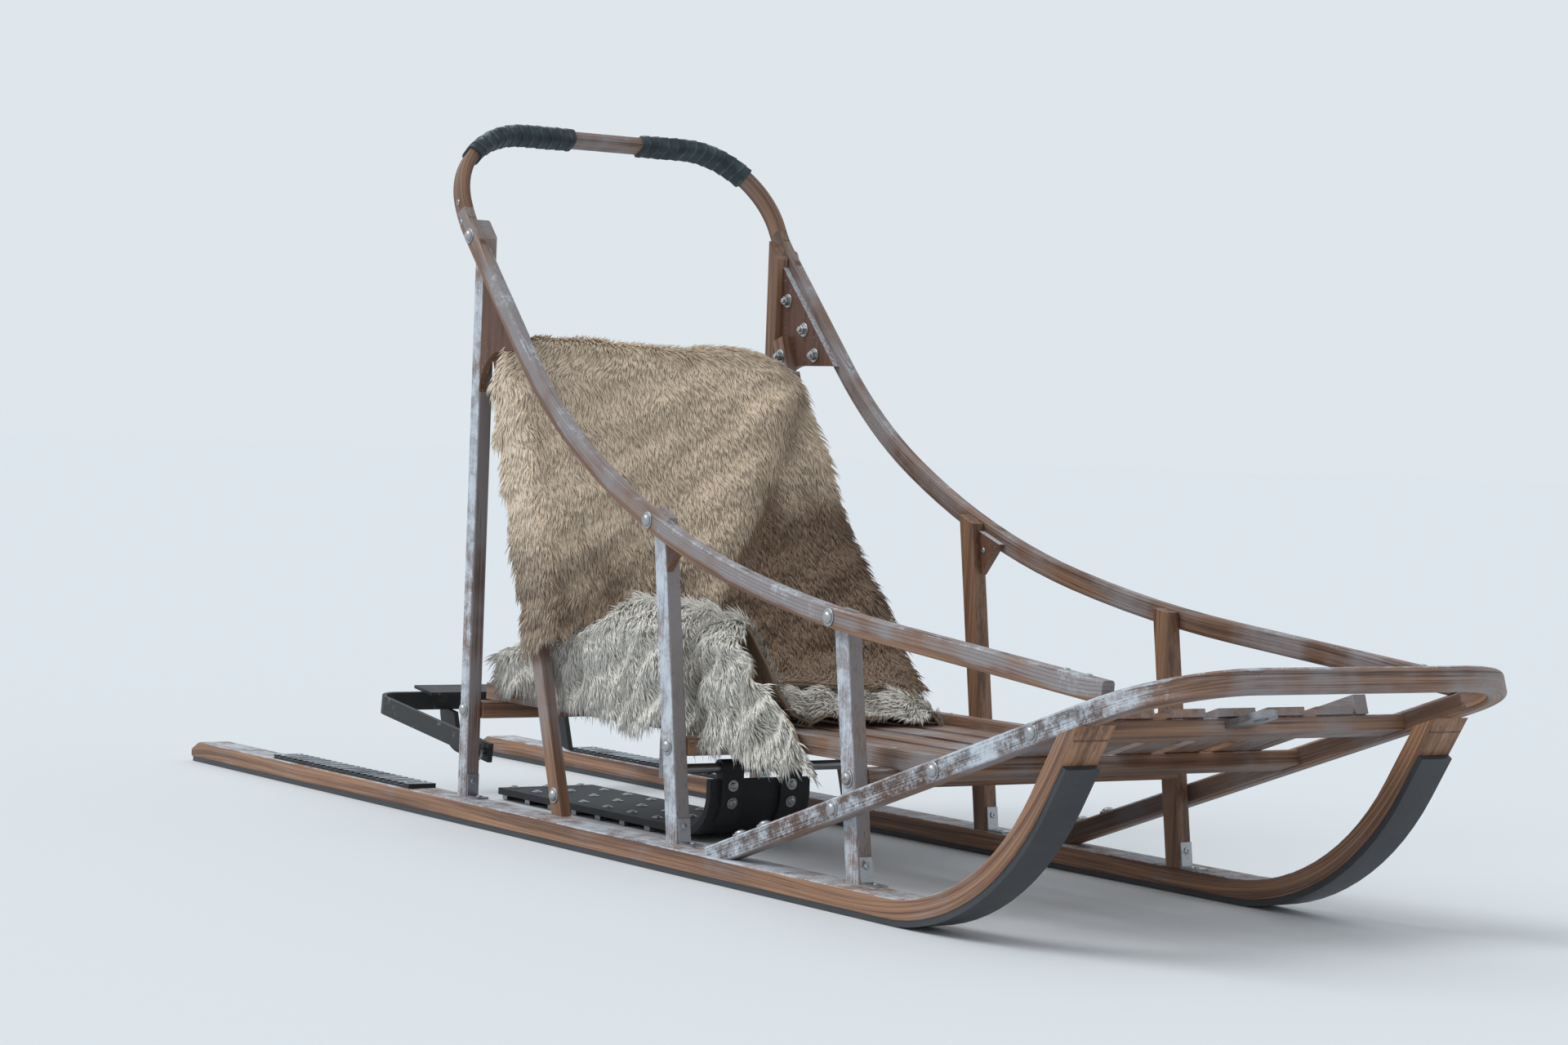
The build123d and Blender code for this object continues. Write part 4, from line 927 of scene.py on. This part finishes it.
def makeFasteners(name, kind, spots, body="sled"):
    # copies of one kind, each turned so that its axis is its face's normal
    places, normals = landings(spots)
    helper = np.where(np.abs(normals[:, :1]) < 0.8, [[1.0, 0, 0]], [[0, 0, 1.0]])
    first = unit(np.cross(helper, normals))
    second = np.cross(normals, first)
    turn = np.random.default_rng(len(spots)).uniform(0, 1, (len(spots), 1))
    first, second = first * np.cos(turn) + second * np.sin(turn), second * np.cos(turn) - first * np.sin(turn)
    allPoints, allQuads, allFans, done = [], [], [], 0
    for profile, sides in fastenerShapes[kind]:
        points, quads, fans = turnedShape(profile, sides, 0.0008)
        copies = (places[:, None] + points[:, :1] * first[:, None] + points[:, 1:2] * second[:, None]
                  + points[:, 2:] * normals[:, None])
        offset = done + np.arange(len(spots))[:, None, None] * len(points)
        allPoints.append(copies.reshape(-1, 3))
        allQuads.append((offset + quads).reshape(-1, 4))
        allFans.append((offset + fans).reshape(-1, 3))
        done += len(points) * len(spots)
    return makePiece(name, np.concatenate(allPoints), [np.concatenate(allQuads), np.concatenate(allFans)],
                     boltSteel, body, smooth=False)


def fromAbove(node, x, y):
    # a line straight down onto the node, from over the bed
    return node, (x, y, 0.6), (0, 0, -1)


def fromOutside(node, x, z, way):
    # a line inward across the sled, from beside it
    return node, (x, way * 0.4, z), (0, -way, 0)


def fromInside(node, x, z, way):
    # a line outward across the sled, from its middle
    return node, (x, 0.0, z), (0, way, 0)


def postPlace(row, z, forward=0.0):
    # place in x of a post's middle, or of a line that far ahead of it, at a height
    x, tilt = fastened["posts"][row]
    return x + forward - (z - fastened["barHeight"]) * float(np.tan(np.radians(tilt)))


def railPlace(row, forward=0.0):
    # where that line meets the rail's middle; each round closes in on it
    z = 0.4
    for _ in range(8):
        z = float(np.polyval(railTerms, postPlace(row, z, forward)))
    return postPlace(row, z, forward), z


bpy.context.view_layer.update()
bolts, screws, footScrews, plateNuts = [], [], [], []
for way, side in ((1, "left"), (-1, "right")):
    rail, bar = f"side_rail_{side}", fastened["barHeight"]
    angleLow, angleHigh = fastened["angleHeights"]
    for row, halfPost in (("rear", 0.013), ("middle", 0.015), ("front", 0.015)):
        x = postPlace(row, bar)
        bolts += [fromOutside(rail, *railPlace(row), way), fromOutside(f"{row}_post_{side}", x, bar, way)]
        screws.append(fromAbove(f"bed_stringer_{side}", x, way * 0.2))
        angleFront, angleY = postPlace(row, angleLow, halfPost), way * fastened["angleSide"]
        footScrews += [("post_angles", (x + 0.15, angleY, angleHigh), (-1, 0, 0)),
                       fromAbove("post_angles", angleFront + 0.022, angleY)]
    for x in fastened["brushBolts"]:
        height = brush["top"] - (brush["front"] - x) * float(np.tan(brush["slope"]))
        bolts.append(fromOutside("brush_bow", x, height, way))
    bolts += [fromAbove("brush_bow", x, way * brush["side"]) for x in fastened["brushFeet"]]
    screws += [fromAbove(rail, x, way * bow["side"]) for x in fastened["nose"]]
    plateNuts += [fromInside(f"gusset_{side}", x, z, way) for x, z in fastened["plates"]]
    for along in fastened["boards"]:
        for shift in (-fastened["boardShift"], fastened["boardShift"]):
            x, z = backrest["foot"] + backUp * (along + shift) + backFront * 0.2
            start = (x, way * fastened["boardSide"], z)
            screws.append(("backrest_boards", start, (-backFront[0], 0, -backFront[1])))
    bolts.append(fromOutside(f"backrest_leg_{side}", *fastened["legFoot"], way))
    x, z = backrest["foot"] + backUp * fastened["legNut"]
    plateNuts.append(fromInside(f"backrest_leg_{side}", x, z, way))
    x, z = railPlace("middle", 0.015)
    screws.append(fromInside(f"rail_knee_{side}", x + 0.012, z - 0.028, way))
    screws.append(fromOutside(rail, *fastened["railTop"], way))
    screws.append(fromOutside("handle_bow", *fastened["handleFoot"], way))
    screws += [fromAbove(f"foot_pad_{side}", x, way * fastened["padSide"] + y)
               for x in fastened["pads"] for y in (-fastened["padHalf"], fastened["padHalf"])]
screws += [fromAbove("bed_slats", x, y) for x in fastened["slatBars"] for y in fastened["slatSides"]]
matRivets = [("mat_straps", (0.1, y, z), (-1, 0, 0))
             for y in fastened["strapSides"] for z in fastened["strapHeights"]]
matRivets += [fromAbove("mat_sheet", fastened["matStart"] + fastened["matPitch"] * k, y)
              for k in range(fastened["matRows"]) for y in fastened["matSides"]]
makeFasteners("carriage_bolts", "bolt", bolts)
makeFasteners("wood_screws", "screw", screws)
makeFasteners("foot_screws", "screw", footScrews)
makeFasteners("corner_plate_nuts", "nut", plateNuts)
makeFasteners("mat_rivets", "rivet", matRivets, "drag_mat")
print("fasteners")
